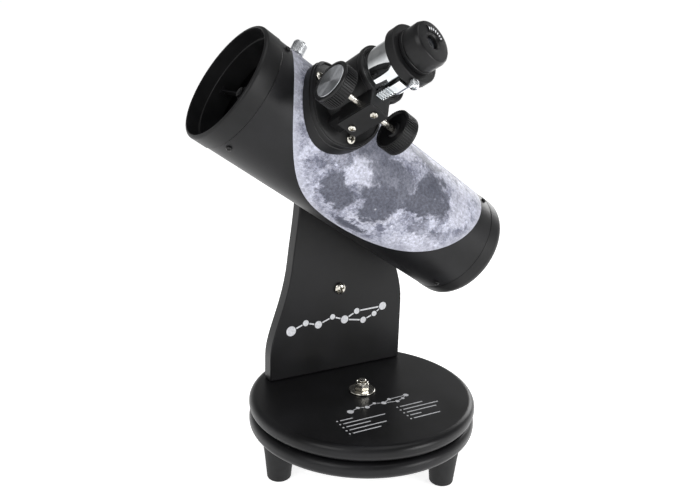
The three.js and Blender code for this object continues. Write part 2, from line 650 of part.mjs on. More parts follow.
function makeDrawtube() {
  add(focuser, 'drawtube', turned([
    [DRAWTUBE_BORE, DRAWTUBE_BOTTOM], [DRAWTUBE_RADIUS, DRAWTUBE_BOTTOM],
    [DRAWTUBE_RADIUS, COLLAR_SEAT], [DRAWTUBE_BORE, COLLAR_SEAT],
  ], ROUND_SIDES), chrome);

  const rack = new THREE.ExtrudeGeometry(rackOutline(71, 117.5, COLLAR_BOTTOM - 0.4), {
    depth: 7.8, bevelEnabled: false,
  });
  rack.applyMatrix4(new THREE.Matrix4().makeBasis(
    new THREE.Vector3(0, 0, 1), new THREE.Vector3(0, 1, 0), new THREE.Vector3(-1, 0, 0),
  ));
  add(focuser, 'rack', rack, chrome).position.x = 3.9;

  const acrossToScrew = new THREE.Matrix4().makeRotationZ(radians(THUMB_SCREW_TURN))
    .setPosition(0, 0, THUMB_SCREW_HEIGHT);
  add(focuser, 'eyepiece_collar', cut(
    turned([
      [DRAWTUBE_RADIUS + GAP, COLLAR_BOTTOM], [22.8, COLLAR_BOTTOM], [COLLAR_RADIUS, COLLAR_BOTTOM + 0.9],
      [COLLAR_RADIUS, COLLAR_TOP - 0.9], [22.8, COLLAR_TOP], [DRAWTUBE_BORE, COLLAR_TOP],
      [DRAWTUBE_BORE, COLLAR_SEAT + GAP], [DRAWTUBE_RADIUS + GAP, COLLAR_SEAT + GAP],
    ], ROUND_SIDES),
    alongY(rod(1.7, 10, 30)).applyMatrix4(acrossToScrew),
  ), blackPlastic);
  const thumbScrew = turned([
    [0, 16.3], [1.4, 16.3], [1.4, 24.1], [3.4, 24.1], [4.4, 25.2], [4.4, 28.6], [3.4, 30], [0, 30.4],
  ], 16);
  add(focuser, 'eyepiece_screw', alongY(thumbScrew), chrome).applyMatrix4(acrossToScrew);
}

function makeEyepiece() {
  add(focuser, 'eyepiece_body', turned([
    [BARREL_RADIUS + GAP, COLLAR_TOP + GAP], [EYEPIECE_RADIUS, COLLAR_TOP + GAP],
    [EYEPIECE_RADIUS, 149.4], [15.8, EYEPIECE_TOP], [5.6, EYEPIECE_TOP], [5.3, 151.6], [5.3, 146],
    [13, 145], [13, 141], [BARREL_RADIUS + GAP, 141],
  ], ROUND_SIDES), blackPlastic);
  add(focuser, 'eyepiece_barrel', turned([
    [14.3, 108], [BARREL_RADIUS, 108], [BARREL_RADIUS, 140.7], [14.3, 140.7],
  ], ROUND_SIDES), chrome);
  add(focuser, 'eye_lens', turned([
    [0, 146.8], [5, 146.8], [5, 149.6], [3.6, 150.3], [0, 150.7],
  ], 24), glass);
}

makeBase();
makeTurntable();
makeAltitudeKnob();
makeTube();
makeFocuser();
makeDrawtube();
makeEyepiece();

export default telescope;
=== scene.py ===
import json
import math

import bmesh
import bpy
from mathutils import Matrix, Vector


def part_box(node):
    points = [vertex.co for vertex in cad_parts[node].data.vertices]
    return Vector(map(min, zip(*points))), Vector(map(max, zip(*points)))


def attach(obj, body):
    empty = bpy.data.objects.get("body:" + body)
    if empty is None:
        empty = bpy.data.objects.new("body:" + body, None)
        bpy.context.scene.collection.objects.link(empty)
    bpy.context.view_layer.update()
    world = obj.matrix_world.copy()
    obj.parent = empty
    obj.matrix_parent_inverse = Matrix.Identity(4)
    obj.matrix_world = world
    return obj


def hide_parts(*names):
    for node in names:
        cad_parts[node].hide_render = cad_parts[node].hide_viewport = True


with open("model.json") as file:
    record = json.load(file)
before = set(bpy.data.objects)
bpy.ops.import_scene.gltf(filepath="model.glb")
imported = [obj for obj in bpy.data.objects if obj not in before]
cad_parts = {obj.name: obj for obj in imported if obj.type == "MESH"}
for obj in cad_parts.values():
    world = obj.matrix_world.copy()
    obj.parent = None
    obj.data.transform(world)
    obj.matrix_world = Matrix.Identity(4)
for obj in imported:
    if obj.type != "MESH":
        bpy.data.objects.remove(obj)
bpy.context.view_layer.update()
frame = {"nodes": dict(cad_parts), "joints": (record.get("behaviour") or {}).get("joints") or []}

MM = 0.001
X, Y, Z = Vector((1, 0, 0)), Vector((0, 1, 0)), Vector((0, 0, 1))

# ---------------------------------------------------------------- places, from the frame
JOINTS = {joint["name"]: joint for joint in frame["joints"]}


def joint_point(name):
    return Vector(JOINTS[name]["pos_m"])


def joint_axis(name):
    return Vector(JOINTS[name]["axis"]).normalized()


def placement(x_axis, y_axis, z_axis, origin):
    """The matrix that carries a piece from the bench to its place on the telescope."""
    turn = Matrix((x_axis, y_axis, z_axis)).transposed().to_4x4()
    return Matrix.Translation(origin) @ turn


# Heights on the stand, in mm
LOWER_BOARD = [corner.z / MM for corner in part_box("base_board")]
TURNTABLE = [corner.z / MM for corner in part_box("turntable_board")]
BOARD_RADIUS = (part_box("base_board")[1].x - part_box("base_board")[0].x) / 2 / MM
BOARD_ROUNDING = 6.5
TOP = TURNTABLE[1]
AZIMUTH = joint_point("azimuth_turn")
STAND = Matrix.Translation((AZIMUTH.x, AZIMUTH.y, 0))

# The tube's own frame: Z to the sky, Y to the tube's top, X away from the arm
SKYWARD = joint_axis("focus_turn")
AWAY = X
PIVOT = joint_point("altitude_tilt")
TUBE = placement(AWAY, SKYWARD.cross(AWAY), SKYWARD, PIVOT)
PIVOT_HEIGHT = PIVOT.z / MM - TOP
PIVOT_STATION = 168            # mm from the front rim
TUBE_RADIUS = 51.5
GAP = 0.3                      # air between pieces that touch in the real thing

# The focuser's frame: Z out of the tube, X to the sky, Y across to the pinion
OUTWARD = joint_axis("focus_slide")
ACROSS = OUTWARD.cross(SKYWARD)
SHAFT_Y = 29.3
SHAFT_Z = 90.9
FOCUS_AXIS_POINT = joint_point("focus_turn") - (ACROSS * SHAFT_Y + OUTWARD * SHAFT_Z) * MM
FOCUSER = placement(SKYWARD, ACROSS, OUTWARD, FOCUS_AXIS_POINT)
FOCUSER_STATION = PIVOT_STATION - (FOCUS_AXIS_POINT - PIVOT).dot(SKYWARD) / MM
FOCUSER_ANGLE = math.degrees(math.atan2(OUTWARD.dot(AWAY), OUTWARD.dot(SKYWARD.cross(AWAY))))
HOUSING_TOP = 103.2
COLLAR = (126.7, 135.3)
EYEPIECE_TOP = 153.0
BOX_X = (-10.5, 8.5)
BOX_FACE = 35.2
BOX_LOW = 69

ARM_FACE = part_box("side_arm")[1].x / MM - AZIMUTH.x / MM
ARM_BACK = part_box("side_arm")[0].x / MM - AZIMUTH.x / MM
ARM_Y = [(corner.y - AZIMUTH.y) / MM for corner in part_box("side_arm")]
ARM_HEAD = 43


def station(distance):
    """A height in the tube's frame, from a distance behind the front rim."""
    return PIVOT_STATION - distance


def radial(distance, degrees):
    """The place of a piece that points out of the tube, at an angle from the tube's top towards +X."""
    angle = math.radians(degrees)
    out = Vector((math.sin(angle), math.cos(angle), 0))
    return TUBE @ placement(Z.cross(out), Z, out, Z * station(distance) * MM)


def moved(x, y, z):
    """A move in mm."""
    return Matrix.Translation(Vector((x, y, z)) * MM)


def spun(degrees):
    """A turn about Z."""
    return Matrix.Rotation(math.radians(degrees), 4, "Z")


# ---------------------------------------------------------------- the bench
def only(*pieces):
    """Selects these pieces and nothing else."""
    if bpy.context.object and bpy.context.object.mode != "OBJECT":
        bpy.ops.object.mode_set(mode="OBJECT")
    bpy.ops.object.select_all(action="DESELECT")
    for piece in pieces:
        piece.select_set(True)
    bpy.context.view_layer.objects.active = pieces[0]


def named(name):
    piece = bpy.context.object
    piece.name = name
    piece.data.name = name
    return piece


def edit(piece):
    only(piece)
    bpy.ops.object.mode_set(mode="EDIT")
    bpy.ops.mesh.select_mode(type="VERT")
    bpy.ops.mesh.select_all(action="SELECT")


def done():
    bpy.ops.object.mode_set(mode="OBJECT")


def pick(piece, kind, test):
    """Selects the faces, edges or vertices of the edited piece that pass a test of place or normal."""
    bpy.ops.mesh.select_mode(type=kind)
    bpy.ops.mesh.select_all(action="DESELECT")
    mesh = bmesh.from_edit_mesh(piece.data)
    parts = {"FACE": mesh.faces, "EDGE": mesh.edges, "VERT": mesh.verts}[kind]
    for part in parts:
        part.select_set(test(part))
    bmesh.update_edit_mesh(piece.data)


def rod(name, radius, low, high, sides=64):
    """A round bar standing on Z, in mm."""
    bpy.ops.object.select_all(action="DESELECT")
    bpy.ops.mesh.primitive_cylinder_add(vertices=sides, radius=radius * MM, depth=(high - low) * MM,
                                        location=(0, 0, (low + high) / 2 * MM))
    piece = named(name)
    bpy.ops.object.transform_apply(location=True)
    return piece


def block(name, x, y, z):
    """A square block between three pairs of limits, in mm."""
    bpy.ops.object.select_all(action="DESELECT")
    bpy.ops.mesh.primitive_cube_add(size=1, location=[sum(side) / 2 * MM for side in (x, y, z)])
    piece = named(name)
    piece.scale = [(side[1] - side[0]) * MM for side in (x, y, z)]
    bpy.ops.object.transform_apply(location=True, scale=True)
    return piece


def outline(name, points, closed=True):
    """A chain of edges through points in mm: one vertex, extruded from point to point."""
    bpy.ops.object.select_all(action="DESELECT")
    bpy.ops.mesh.primitive_plane_add(size=MM)
    piece = named(name)
    edit(piece)
    bpy.ops.mesh.merge(type="CENTER")
    bpy.ops.transform.translate(value=Vector(points[0]) * MM)
    for before, after in zip(points, points[1:]):
        step = (Vector(after) - Vector(before)) * MM
        bpy.ops.mesh.extrude_region_move(TRANSFORM_OT_translate={"value": step})
    if closed:
        pick(piece, "VERT", lambda vertex: len(vertex.link_edges) == 1)
        bpy.ops.mesh.edge_face_add()
    bpy.ops.mesh.select_all(action="SELECT")
    return piece


def turned(name, profile, sides=96):
    """A piece turned on Z from a profile of (radius, height) in mm, from axis to axis or round a loop."""
    on_axis = profile[0][0] == 0
    piece = outline(name, [(radius, 0, height) for radius, height in profile], closed=not on_axis)
    bpy.ops.mesh.spin(steps=sides, angle=2 * math.pi, center=(0, 0, 0), axis=Z)
    bpy.ops.mesh.select_all(action="SELECT")
    bpy.ops.mesh.remove_doubles(threshold=0.002 * MM)
    bpy.ops.mesh.normals_make_consistent(inside=False)
    done()
    return piece


def plate(name, points, thickness):
    """A flat outline in the XY plane, filled and thickened upwards, in mm."""
    piece = outline(name, [(x, y, 0) for x, y in points])
    bpy.ops.mesh.edge_face_add()
    bpy.ops.mesh.extrude_region_move(TRANSFORM_OT_translate={"value": (0, 0, thickness * MM)})
    bpy.ops.mesh.select_all(action="SELECT")
    bpy.ops.mesh.normals_make_consistent(inside=False)
    done()
    return piece


def repeated(piece, copies):
    """Copies all of a piece round Z, as many times as there are ribs or teeth."""
    edit(piece)
    bpy.ops.mesh.spin(dupli=True, steps=copies - 1, angle=2 * math.pi * (copies - 1) / copies,
                      center=(0, 0, 0), axis=Z)
    done()
    return piece


def carry(piece, matrix):
    """Moves a finished piece to its place and leaves its object at the origin."""
    only(piece)
    piece.matrix_world = matrix @ piece.matrix_world
    bpy.ops.object.transform_apply(location=True, rotation=True, scale=True)
    return piece


def put_away(*pieces):
    """Deletes patterns and tools that are not needed any more."""
    only(*pieces)
    bpy.ops.object.delete()


def copied(piece, name):
    only(piece)
    bpy.ops.object.duplicate(linked=False)
    return named(name)


def joined(name, *pieces):
    only(*pieces)
    bpy.ops.object.join()
    return named(name)


def carved(piece, operation, *tools):
    """Cuts, keeps or adds the tools, then puts them away."""
    for tool in tools:
        only(piece)
        bpy.ops.object.modifier_add(type="BOOLEAN")
        modifier = piece.modifiers[-1]
        modifier.operation = operation
        modifier.solver = "EXACT"
        modifier.object = tool
        bpy.ops.object.modifier_apply(modifier=modifier.name)
        put_away(tool)
    return piece


def softened(piece, width, segments=3, angle=40):
    """Rounds the edges sharper than an angle, by a width in mm, and shades what is left smooth."""
    only(piece)
    bpy.ops.object.modifier_add(type="BEVEL")
    modifier = piece.modifiers[-1]
    modifier.width = width * MM
    modifier.segments = segments
    modifier.limit_method = "ANGLE"
    modifier.angle_limit = math.radians(angle)
    modifier.miter_outer = "MITER_ARC"
    bpy.ops.object.modifier_apply(modifier=modifier.name)
    return smooth(piece)


def smooth(piece, angle=38):
    """Shades a piece smooth up to an angle, and keeps its flat faces flat beside their rounded edges."""
    only(piece)
    bpy.ops.object.shade_smooth_by_angle(angle=math.radians(angle))
    bpy.ops.object.modifier_add(type="WEIGHTED_NORMAL")
    piece.modifiers[-1].keep_sharp = True
    bpy.ops.object.modifier_apply(modifier=piece.modifiers[-1].name)
    return piece


def arc(centre, radius, start, end, steps=8):
    """Profile points on part of a circle, in mm and degrees."""
    turns = [math.radians(start + (end - start) * i / steps) for i in range(steps + 1)]
    return [(centre[0] + radius * math.cos(t), centre[1] + radius * math.sin(t)) for t in turns]


def fitted(piece, body, material, slot, *nodes):
    """Gives a finished piece its material and makes it move with its body in place of CAD nodes."""
    piece.data.materials.clear()
    piece.data.materials.append(material)
    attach(piece, body)
    if nodes:
        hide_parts(*nodes)
    return piece


def placed(piece, place, *fitting):
    """Smooths a finished piece, carries it to its place and fits it."""
    return fitted(carry(smooth(piece), place), *fitting)


def fresh_map(mesh, name):
    """The mesh's only UV map, empty."""
    for layer in list(mesh.uv_layers):
        mesh.uv_layers.remove(layer)
    return mesh.uv_layers.new(name=name)


ALONG_X = Matrix.Rotation(math.radians(90), 4, "Y")
ALONG_Y = Matrix.Rotation(math.radians(-90), 4, "X")


# ---------------------------------------------------------------- materials
def tint(code):
    """A linear colour from an sRGB hex value."""
    shares = [int(code[i:i + 2], 16) / 255 for i in (0, 2, 4)]
    linear = [c / 12.92 if c <= 0.04045 else ((c + 0.055) / 1.055) ** 2.4 for c in shares]
    return (*linear, 1.0)


def feed(tree, node, links):
    """Each entry of links is a value for an input socket, or the output to link to it."""
    for key, value in links.items():
        if isinstance(value, bpy.types.NodeSocket):
            tree.links.new(value, node.inputs[key])
        else:
            node.inputs[key].default_value = value


def add(tree, kind, links=None, out=0, **settings):
    """Adds a node with its settings and links, and returns one of its outputs."""
    node = tree.nodes.new(kind)
    for key, value in settings.items():
        setattr(node, key, value)
    feed(tree, node, links or {})
    return node.outputs[out]


def blank(name):
    """A new material with its tree, its shader, and the object's own coordinates."""
    material = bpy.data.materials.new(name)
    material.use_nodes = True
    tree = material.node_tree
    return material, tree, tree.nodes["Principled BSDF"], add(tree, "ShaderNodeTexCoord", out="Object")


def skinned(name, dark, light, roughness, grain_mm, cloud_mm, relief_mm, uniform):
    """A material whose tone and gloss wander between two values, under a fine relief."""
    material, tree, shader, place = blank(name)
    grain = add(tree, "ShaderNodeTexNoise", {"Vector": place, "Scale": 1 / (grain_mm * MM), "Detail": 3.0})
    cloud = add(tree, "ShaderNodeTexNoise", {"Vector": place, "Scale": 1 / (cloud_mm * MM), "Detail": 3.0})
    share = add(tree, "ShaderNodeMapRange", {0: cloud, 1: 0.33, 2: 0.67})
    sheen = add(tree, "ShaderNodeMapRange", {0: cloud, 1: 0.3, 2: 0.7, 3: roughness - 0.04, 4: roughness + 0.04})
    tone = add(tree, "ShaderNodeMix", {0: share, 6: tint(dark), 7: tint(light)}, 2, data_type="RGBA")
    relief = add(tree, "ShaderNodeBump", {"Height": grain, "Distance": relief_mm * MM, "Strength": 0.4})
    feed(tree, shader, {"Base Color": tone, "Roughness": sheen, "Normal": relief, **uniform})
    return material


def spun_aluminium():
    # Aluminium faced on a lathe: fine rings that stretch every highlight into a wedge.
    material, tree, shader, _ = blank("spun_aluminium")
    unwrap = add(tree, "ShaderNodeUVMap", uv_map="turning")
    reach = add(tree, "ShaderNodeSeparateXYZ", {0: unwrap}, "Y")
    ring = add(tree, "ShaderNodeTexNoise", {"W": reach, "Scale": 60.0, "Detail": 3.0}, noise_dimensions="1D")
    share = add(tree, "ShaderNodeMapRange", {0: ring, 1: 0.35, 2: 0.65})
    tone = add(tree, "ShaderNodeMix", {0: share, 6: tint("b4b8be"), 7: tint("d8dadd")}, 2, data_type="RGBA")
    tangent = add(tree, "ShaderNodeTangent", direction_type="UV_MAP", uv_map="turning")
    relief = add(tree, "ShaderNodeBump", {"Height": ring, "Distance": 0.01 * MM, "Strength": 0.3})
    feed(tree, shader, {"Base Color": tone, "Metallic": 1.0, "Roughness": 0.32, "Anisotropic": 0.95,
                        "Tangent": tangent, "Normal": relief})
    return material


def printed_moon():
    # A printed vinyl wrap: pale highlands and grey plains in ink, under a satin film.
    # The picture lies on the film's own unwrapped map, in units of its radius.
    material, tree, shader, _ = blank("printed_vinyl")
    chart = add(tree, "ShaderNodeUVMap", uv_map="film")

    # The plains' shores wander, so every distance is measured from a disturbed place.
    shore = chart
    for scale, push in ((4.5, 0.30), (17.0, 0.16), (55.0, 0.06)):
        drift = add(tree, "ShaderNodeTexNoise", {"Vector": chart, "Scale": scale, "Detail": 4.0,
                                                 "Roughness": 0.62}, "Color")
        centred = add(tree, "ShaderNodeVectorMath", {0: drift, 1: (0.5, 0.5, 0.5)}, operation="SUBTRACT")
        pushed = add(tree, "ShaderNodeVectorMath", {0: centred, "Scale": push}, operation="SCALE")
        shore = add(tree, "ShaderNodeVectorMath", {0: shore, 1: pushed})

    # Each patch is an oval: its middle, its two half-widths, its turn in degrees and its strength.
    plains = [
        ((0.056, 0.884), (0.125, 0.066), 0, 1.0),
        ((-0.262, 0.721), (0.19, 0.105), 30, 0.95),
        ((0.056, 0.590), (0.18, 0.165), 0, 1.0),
        ((0.02, 0.36), (0.22, 0.12), 0, 0.85),
        ((0.21, 0.48), (0.14, 0.09), 0, 0.95),
        ((0.425, 0.326), (0.19, 0.18), 0, 1.0),
        ((0.356, 0.463), (0.14, 0.10), 0, 1.0),
        ((0.31, 0.043), (0.20, 0.065), 6, 0.6),
        ((0.67, 0.55), (0.10, 0.06), -30, 0.4),
        ((0.485, 0.60), (0.08, 0.05), -20, 0.5),
        ((-0.52, 0.58), (0.06, 0.13), -35, 0.35),
        ((-0.41, 0.50), (0.11, 0.05), 20, 0.4),
        ((-0.30, 0.20), (0.28, 0.20), 20, 0.8),
        ((-0.10, -0.25), (0.34, 0.20), -15, 0.9),
        ((-0.50, -0.20), (0.22, 0.26), 10, 0.75),
        ((0.35, -0.45), (0.20, 0.12), 25, 0.8),
        ((-0.20, -0.66), (0.22, 0.10), -10, 0.7),
    ]
    heights = [
        ((-0.19, 0.49), (0.14, 0.11), 10, 0.5),
        ((0.13, 0.73), (0.17, 0.035), -28, 0.7),
        ((0.55, 0.72), (0.20, 0.10), -35, 0.5),
        ((0.74, 0.25), (0.10, 0.16), 0, 0.55),
        ((0.10, 0.13), (0.12, 0.06), 20, 0.5),
        ((-0.62, 0.30), (0.10, 0.20), -10, 0.4),
    ]
    covers = []
    for patches in (plains, heights):
        total = None
        for (across, along), (wide, tall), turn, strength in patches:
            oval = add(tree, "ShaderNodeMapping", {
                "Vector": shore, "Location": (across, along, 0), "Rotation": (0, 0, math.radians(turn)),
                "Scale": (wide, tall, 1)}, vector_type="TEXTURE")
            reach = add(tree, "ShaderNodeVectorMath", {0: oval}, "Value", operation="LENGTH")
            cover = add(tree, "ShaderNodeMapRange", {0: reach, 1: 1.16, 2: 0.84, 3: 0.0, 4: strength})
            total = cover if total is None else add(tree, "ShaderNodeMath", {0: total, 1: cover},
                                                    operation="MAXIMUM")
        covers.append(total)
    sea, height = covers

    # Craters in three sizes: a dark floor inside a bright wall.
    relief = None
    for scale, weight in ((15, 0.5), (33, 0.8), (70, 0.8)):
        cell = add(tree, "ShaderNodeTexVoronoi", {"Vector": shore, "Scale": scale, "Randomness": 1.0},
                   "Distance", feature="F1")
        wall = add(tree, "ShaderNodeValToRGB", {0: cell})
        ramp = wall.node.color_ramp
        ramp.elements[0].color = (0.36, 0.36, 0.36, 1)
        ramp.elements[1].position = 0.4
        ramp.elements[1].color = (0.5, 0.5, 0.5, 1)
        for position, level in ((0.13, 0.38), (0.2, 0.78), (0.28, 0.5)):
            ramp.elements.new(position).color = (level, level, level, 1)
        level = add(tree, "ShaderNodeMapRange", {0: wall, 1: 0.0, 2: 1.0, 3: -weight, 4: weight})
        relief = level if relief is None else add(tree, "ShaderNodeMath", {0: relief, 1: level})

    blotch = add(tree, "ShaderNodeTexNoise", {"Vector": shore, "Scale": 6.5, "Detail": 9.0, "Roughness": 0.72})
    speck = add(tree, "ShaderNodeTexNoise", {"Vector": chart, "Scale": 42.0, "Detail": 5.0, "Roughness": 0.7})
    upland_share = add(tree, "ShaderNodeMapRange", {0: blotch, 1: 0.40, 2: 0.58})
    plain_share = add(tree, "ShaderNodeMapRange", {0: blotch, 1: 0.3, 2: 0.7})
    upland = add(tree, "ShaderNodeMix", {0: upland_share, 6: tint("636574"), 7: tint("b4b6c4")}, 2,
                 data_type="RGBA")
    raised = add(tree, "ShaderNodeMix", {0: height, 6: upland, 7: tint("bfc0cc")}, 2, data_type="RGBA")
    plain = add(tree, "ShaderNodeMix", {0: plain_share, 6: tint("484a55"), 7: tint("62646f")}, 2,
                data_type="RGBA")
    ground = add(tree, "ShaderNodeMix", {0: sea, 6: raised, 7: plain}, 2, data_type="RGBA")

    # Small bright craters stand out on plains and uplands alike.
    spot = add(tree, "ShaderNodeTexVoronoi", {"Vector": chart, "Scale": 9.0, "Randomness": 1.0}, "Distance",
               feature="F1")
    splash = add(tree, "ShaderNodeMapRange", {0: spot, 1: 0.02, 2: 0.10, 3: 0.6, 4: 0.0})
    lit = add(tree, "ShaderNodeMix", {0: splash, 6: ground, 7: tint("dcdde6")}, 2, data_type="RGBA")
    pitted = add(tree, "ShaderNodeMapRange", {0: relief, 1: -1.0, 2: 1.0, 3: 0.2, 4: 1.8})
    dusted = add(tree, "ShaderNodeMapRange", {0: speck, 1: 0.25, 2: 0.75, 3: 0.45, 4: 1.5})
    shade = add(tree, "ShaderNodeMath", {0: pitted, 1: dusted}, operation="MULTIPLY")
    marked = add(tree, "ShaderNodeVectorMath", {0: lit, "Scale": shade}, operation="SCALE")

    # The limb is printed bright.
    rim = add(tree, "ShaderNodeVectorMath", {0: chart}, "Value", operation="LENGTH")
    limb = add(tree, "ShaderNodeMapRange", {0: rim, 1: 0.93, 2: 1.0, 3: 0.0, 4: 0.55})
    final = add(tree, "ShaderNodeMix", {0: limb, 6: marked, 7: tint("bcbdc8")}, 2, data_type="RGBA")
    feed(tree, shader, {"Base Color": final, "Roughness": 0.42, "Specular IOR Level": 0.15})
    return material


MATTE = {"Specular IOR Level": 0.15}
SATIN = {"Specular IOR Level": 0.24}
METAL = {"Metallic": 1.0}

# Black melamine-faced board: a fine pebble pressed into its face breaks up soft reflections.
BOARD_FACE = skinned("black_laminate", "101011", "19191b", 0.34, 0.9, 45, 0.02, SATIN)
# The arm gets a darker copy of the board's laminate: painted shade on the upright arm, with the same grain and a
# slightly duller gloss.
ARM_SHADED_LAMINATE = skinned("black_laminate_arm_painted_shade", "0c0c0d", "141416", 0.38, 0.9, 45, 0.02, SATIN)
# Injection-moulded ABS: near black, with the fine spark-eroded texture of the mould.
PLASTIC = skinned("moulded_abs", "0f0f10", "171718", 0.42, 0.5, 18, 0.015, SATIN)
KNOB_PLASTIC = skinned("moulded_knob_abs", "0f0f10", "171718", 0.36, 0.4, 18, 0.012, SATIN)
# Anodised aluminium with a fine blasted skin.
EYEPIECE_BLACK = skinned("anodised_black", "141415", "1c1c1d", 0.32, 0.35, 18, 0.012, SATIN)
# Satin black enamel baked on rolled steel: a faint orange peel under a soft sheen.
ENAMEL = skinned("tube_enamel", "111112", "1a1a1c", 0.40, 1.6, 30, 0.02, SATIN)
# The inside of the tube: matte black, so that stray light dies there.
BORE_PAINT = skinned("matte_bore_paint", "08080a", "0e0e10", 0.75, 0.6, 20, 0.03, MATTE)
# Moulded rubber: dull, with a slightly dusty bloom.
RUBBER = skinned("moulded_rubber", "121213", "1d1d1e", 0.6, 0.5, 6, 0.02, {"Specular IOR Level": 0.3})
# Plated and ground metals: mirror-like, with faint polishing swirls.
NICKEL = skinned("bright_nickel", "b9b5ab", "dcd9d1", 0.16, 7, 5, 0.02, METAL)
CHROME = skinned("polished_chrome", "cfd2d4", "e6e8e9", 0.06, 9, 7, 0.01, METAL)
STEEL = skinned("ground_steel", "a39f97", "c4c1bb", 0.22, 2, 5, 0.01, METAL)
# Turned aluminium with a tumbled, slightly grey skin.
TUMBLED = skinned("tumbled_aluminium", "a9abae", "d0d2d4", 0.36, 0.5, 6, 0.02, METAL)
# Oil-blacked steel: dark, with a tight highlight.
BLACK_STEEL = skinned("blackened_steel", "161616", "2a2a2a", 0.32, 0.4, 3, 0.01, {"Metallic": 0.5})
# Turned nylon: milky, slightly waxy.
NYLON = skinned("white_nylon", "cbc8bd", "dedbd1", 0.42, 0.6, 5, 0.01, SATIN)
# A first-surface mirror: aluminised glass with a trace of dust.
MIRROR = skinned("silvered_glass", "e4e7ea", "f2f4f6", 0.06, 30, 9, 0.002, METAL)
# Coated optical glass over a dark eyepiece: black depth with a cool, sharp reflection.
LENS = skinned("coated_lens", "0b0e12", "10141c", 0.06, 30, 4, 0.002,
               {"Coat Weight": 1.0, "Coat Roughness": 0.02})
# Screen-printed white ink: opaque, a little uneven, and matte.
INK = skinned("screen_ink", "c4c5c9", "dcdde0", 0.55, 0.6, 2, 0.005, SATIN)
SPUN = spun_aluminium()
MOON = printed_moon()


# ---------------------------------------------------------------- small hardware
def pan_screw(name, radius, height, shank, length):
    """A pan-head screw standing on z = 0 with a cross recess, its shank going down."""
    shoulder = 0.3 * height
    dome = [(radius * math.cos(t), shoulder + (height - shoulder) * math.sin(t) ** 0.8)
            for t in [math.radians(90 * i / 9) for i in range(10)]]
    screw = turned(name, [(0, -length), (shank, -length), (shank, 0), (radius * 0.97, 0),
                          (radius, 0.12 * height), *dome[:-1], (0, height)], 48)
    wing, reach, floor_height = 0.17 * radius, 0.66 * radius, 0.2 * height
    for x, y in ((wing, reach), (reach, wing)):
        blade = block("blade", (-x, x), (-y, y), (floor_height, height * 1.3))
        carved(screw, "DIFFERENCE", blade)
    return smooth(screw)


def threaded(name, radius, low, high, pitch, sides=48):
    """A bar with a V thread drawn as rings, a chamfered point at its top."""
    crest, root = radius, radius - 0.5 * pitch
    profile = [(0, low), (crest, low)]
    height = low
    while height + 2 * pitch < high:
        profile += [(crest, height + 0.12 * pitch), (root, height + 0.5 * pitch),
                    (crest, height + 0.88 * pitch)]
        height += pitch
    return turned(name, [*profile, (crest, high - 0.7 * pitch), (root, high), (0, high)], sides)


def ribs(name, inner, outer, width, low, high, count):
    """Straight ribs round Z with rounded crests."""
    rib = block(name, (inner, outer), (-width / 2, width / 2), (low, high))
    softened(rib, width * 0.3, 2)
    return smooth(repeated(rib, count))


# ---------------------------------------------------------------- boards and feet
def board(name, body, node, low, high):
    rounding = BOARD_ROUNDING
    rim = BOARD_RADIUS - rounding
    piece = turned(name, [(0, low), (rim - 1, low), *arc((rim, low + rounding), rounding, -90, 0, 14),
                          *arc((rim, high - rounding), rounding, 0, 90, 14), (rim - 1, high), (0, high)],
                   200)
    carry(smooth(piece), STAND)
    return fitted(piece, body, BOARD_FACE, "laminated_board", node)


board("lower_board", "base", "base_board", *LOWER_BOARD)
board("turntable", "turntable", "turntable_board", *TURNTABLE)

FOOT_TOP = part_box("foot_1")[1].z / MM
rubber_foot = turned("foot", [
    (6, 0.6), (6.5, 0), (8.6, 0), *arc((9.2, 2.2), 2.2, -90, 0, 6),
    (13.6, 24), (14.9, FOOT_TOP - 4), (15.5, FOOT_TOP - 2.6), (15.5, FOOT_TOP - 0.6), (14.9, FOOT_TOP),
    (2.7, FOOT_TOP), (2.7, 22), (5.6, 22), (6, 21.6)], 72)
smooth(rubber_foot)
for number in (1, 2, 3):
    node = f"foot_{number}"
    middle = (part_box(node)[0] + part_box(node)[1]) / 2
    foot = copied(rubber_foot, f"rubber_foot_{number}")
    carry(foot, Matrix.Translation((middle.x, middle.y, 0)))
    fitted(foot, "base", RUBBER, "foot_rubber", node)
put_away(rubber_foot)

# The azimuth bolt, its broad washer and its locking nut
bolt_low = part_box("azimuth_bolt")[0].z / MM
bolt_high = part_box("azimuth_bolt")[1].z / MM
stem = threaded("azimuth_bolt_stem", 4, bolt_low + 5, bolt_high, 1.25)
head = softened(rod("azimuth_bolt_head", 7.5, bolt_low, bolt_low + 5.2, 6), 0.5, 2)
bolt = joined("azimuth_axle", head, stem)
placed(bolt, STAND, "base", NICKEL, "nickel_fastener", "azimuth_bolt")

washer_low, washer_high = [corner.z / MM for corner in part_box("azimuth_washer")]
washer = turned("azimuth_broad_washer", [
    (4.3, washer_low), (12.6, washer_low), *arc((12.5, washer_low + 0.5), 0.5, -60, 0, 3),
    *arc((12.2, washer_high - 0.8), 0.8, 0, 90, 6), (11.6, washer_high), (5, washer_high),
    (4.3, washer_high - 0.5)], 96)
placed(washer, STAND, "base", NICKEL, "nickel_fastener", "azimuth_washer")

nut_low, nut_high = [corner.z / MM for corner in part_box("azimuth_lock_nut")]
hexagon = rod("azimuth_nut", 7.5, nut_low, nut_high - 1.8, 6)
turning = turned("nut_turning", [(0, nut_low - 0.1), (6.8, nut_low - 0.1), (7.6, nut_low + 0.7),
                                 (7.6, nut_high - 2.9), (6.3, nut_high - 1.7), (0, nut_high - 1.7)], 96)
carved(hexagon, "INTERSECT", turning)
crown = turned("nut_crown", [(0, nut_high - 2.2), (6.1, nut_high - 2.2), (6.1, nut_high - 0.9),
                             *arc((5.2, nut_high - 0.9), 0.9, 0, 90, 5), (0, nut_high)], 96)
carved(hexagon, "UNION", crown)
carved(hexagon, "DIFFERENCE", rod("bore", 4.25, nut_low - 1, nut_high + 1, 64))
lead_in = turned("lead_in", [(0, nut_high - 0.7), (4.3, nut_high - 0.7), (5.2, nut_high + 0.2),
                             (0, nut_high + 0.2)], 64)
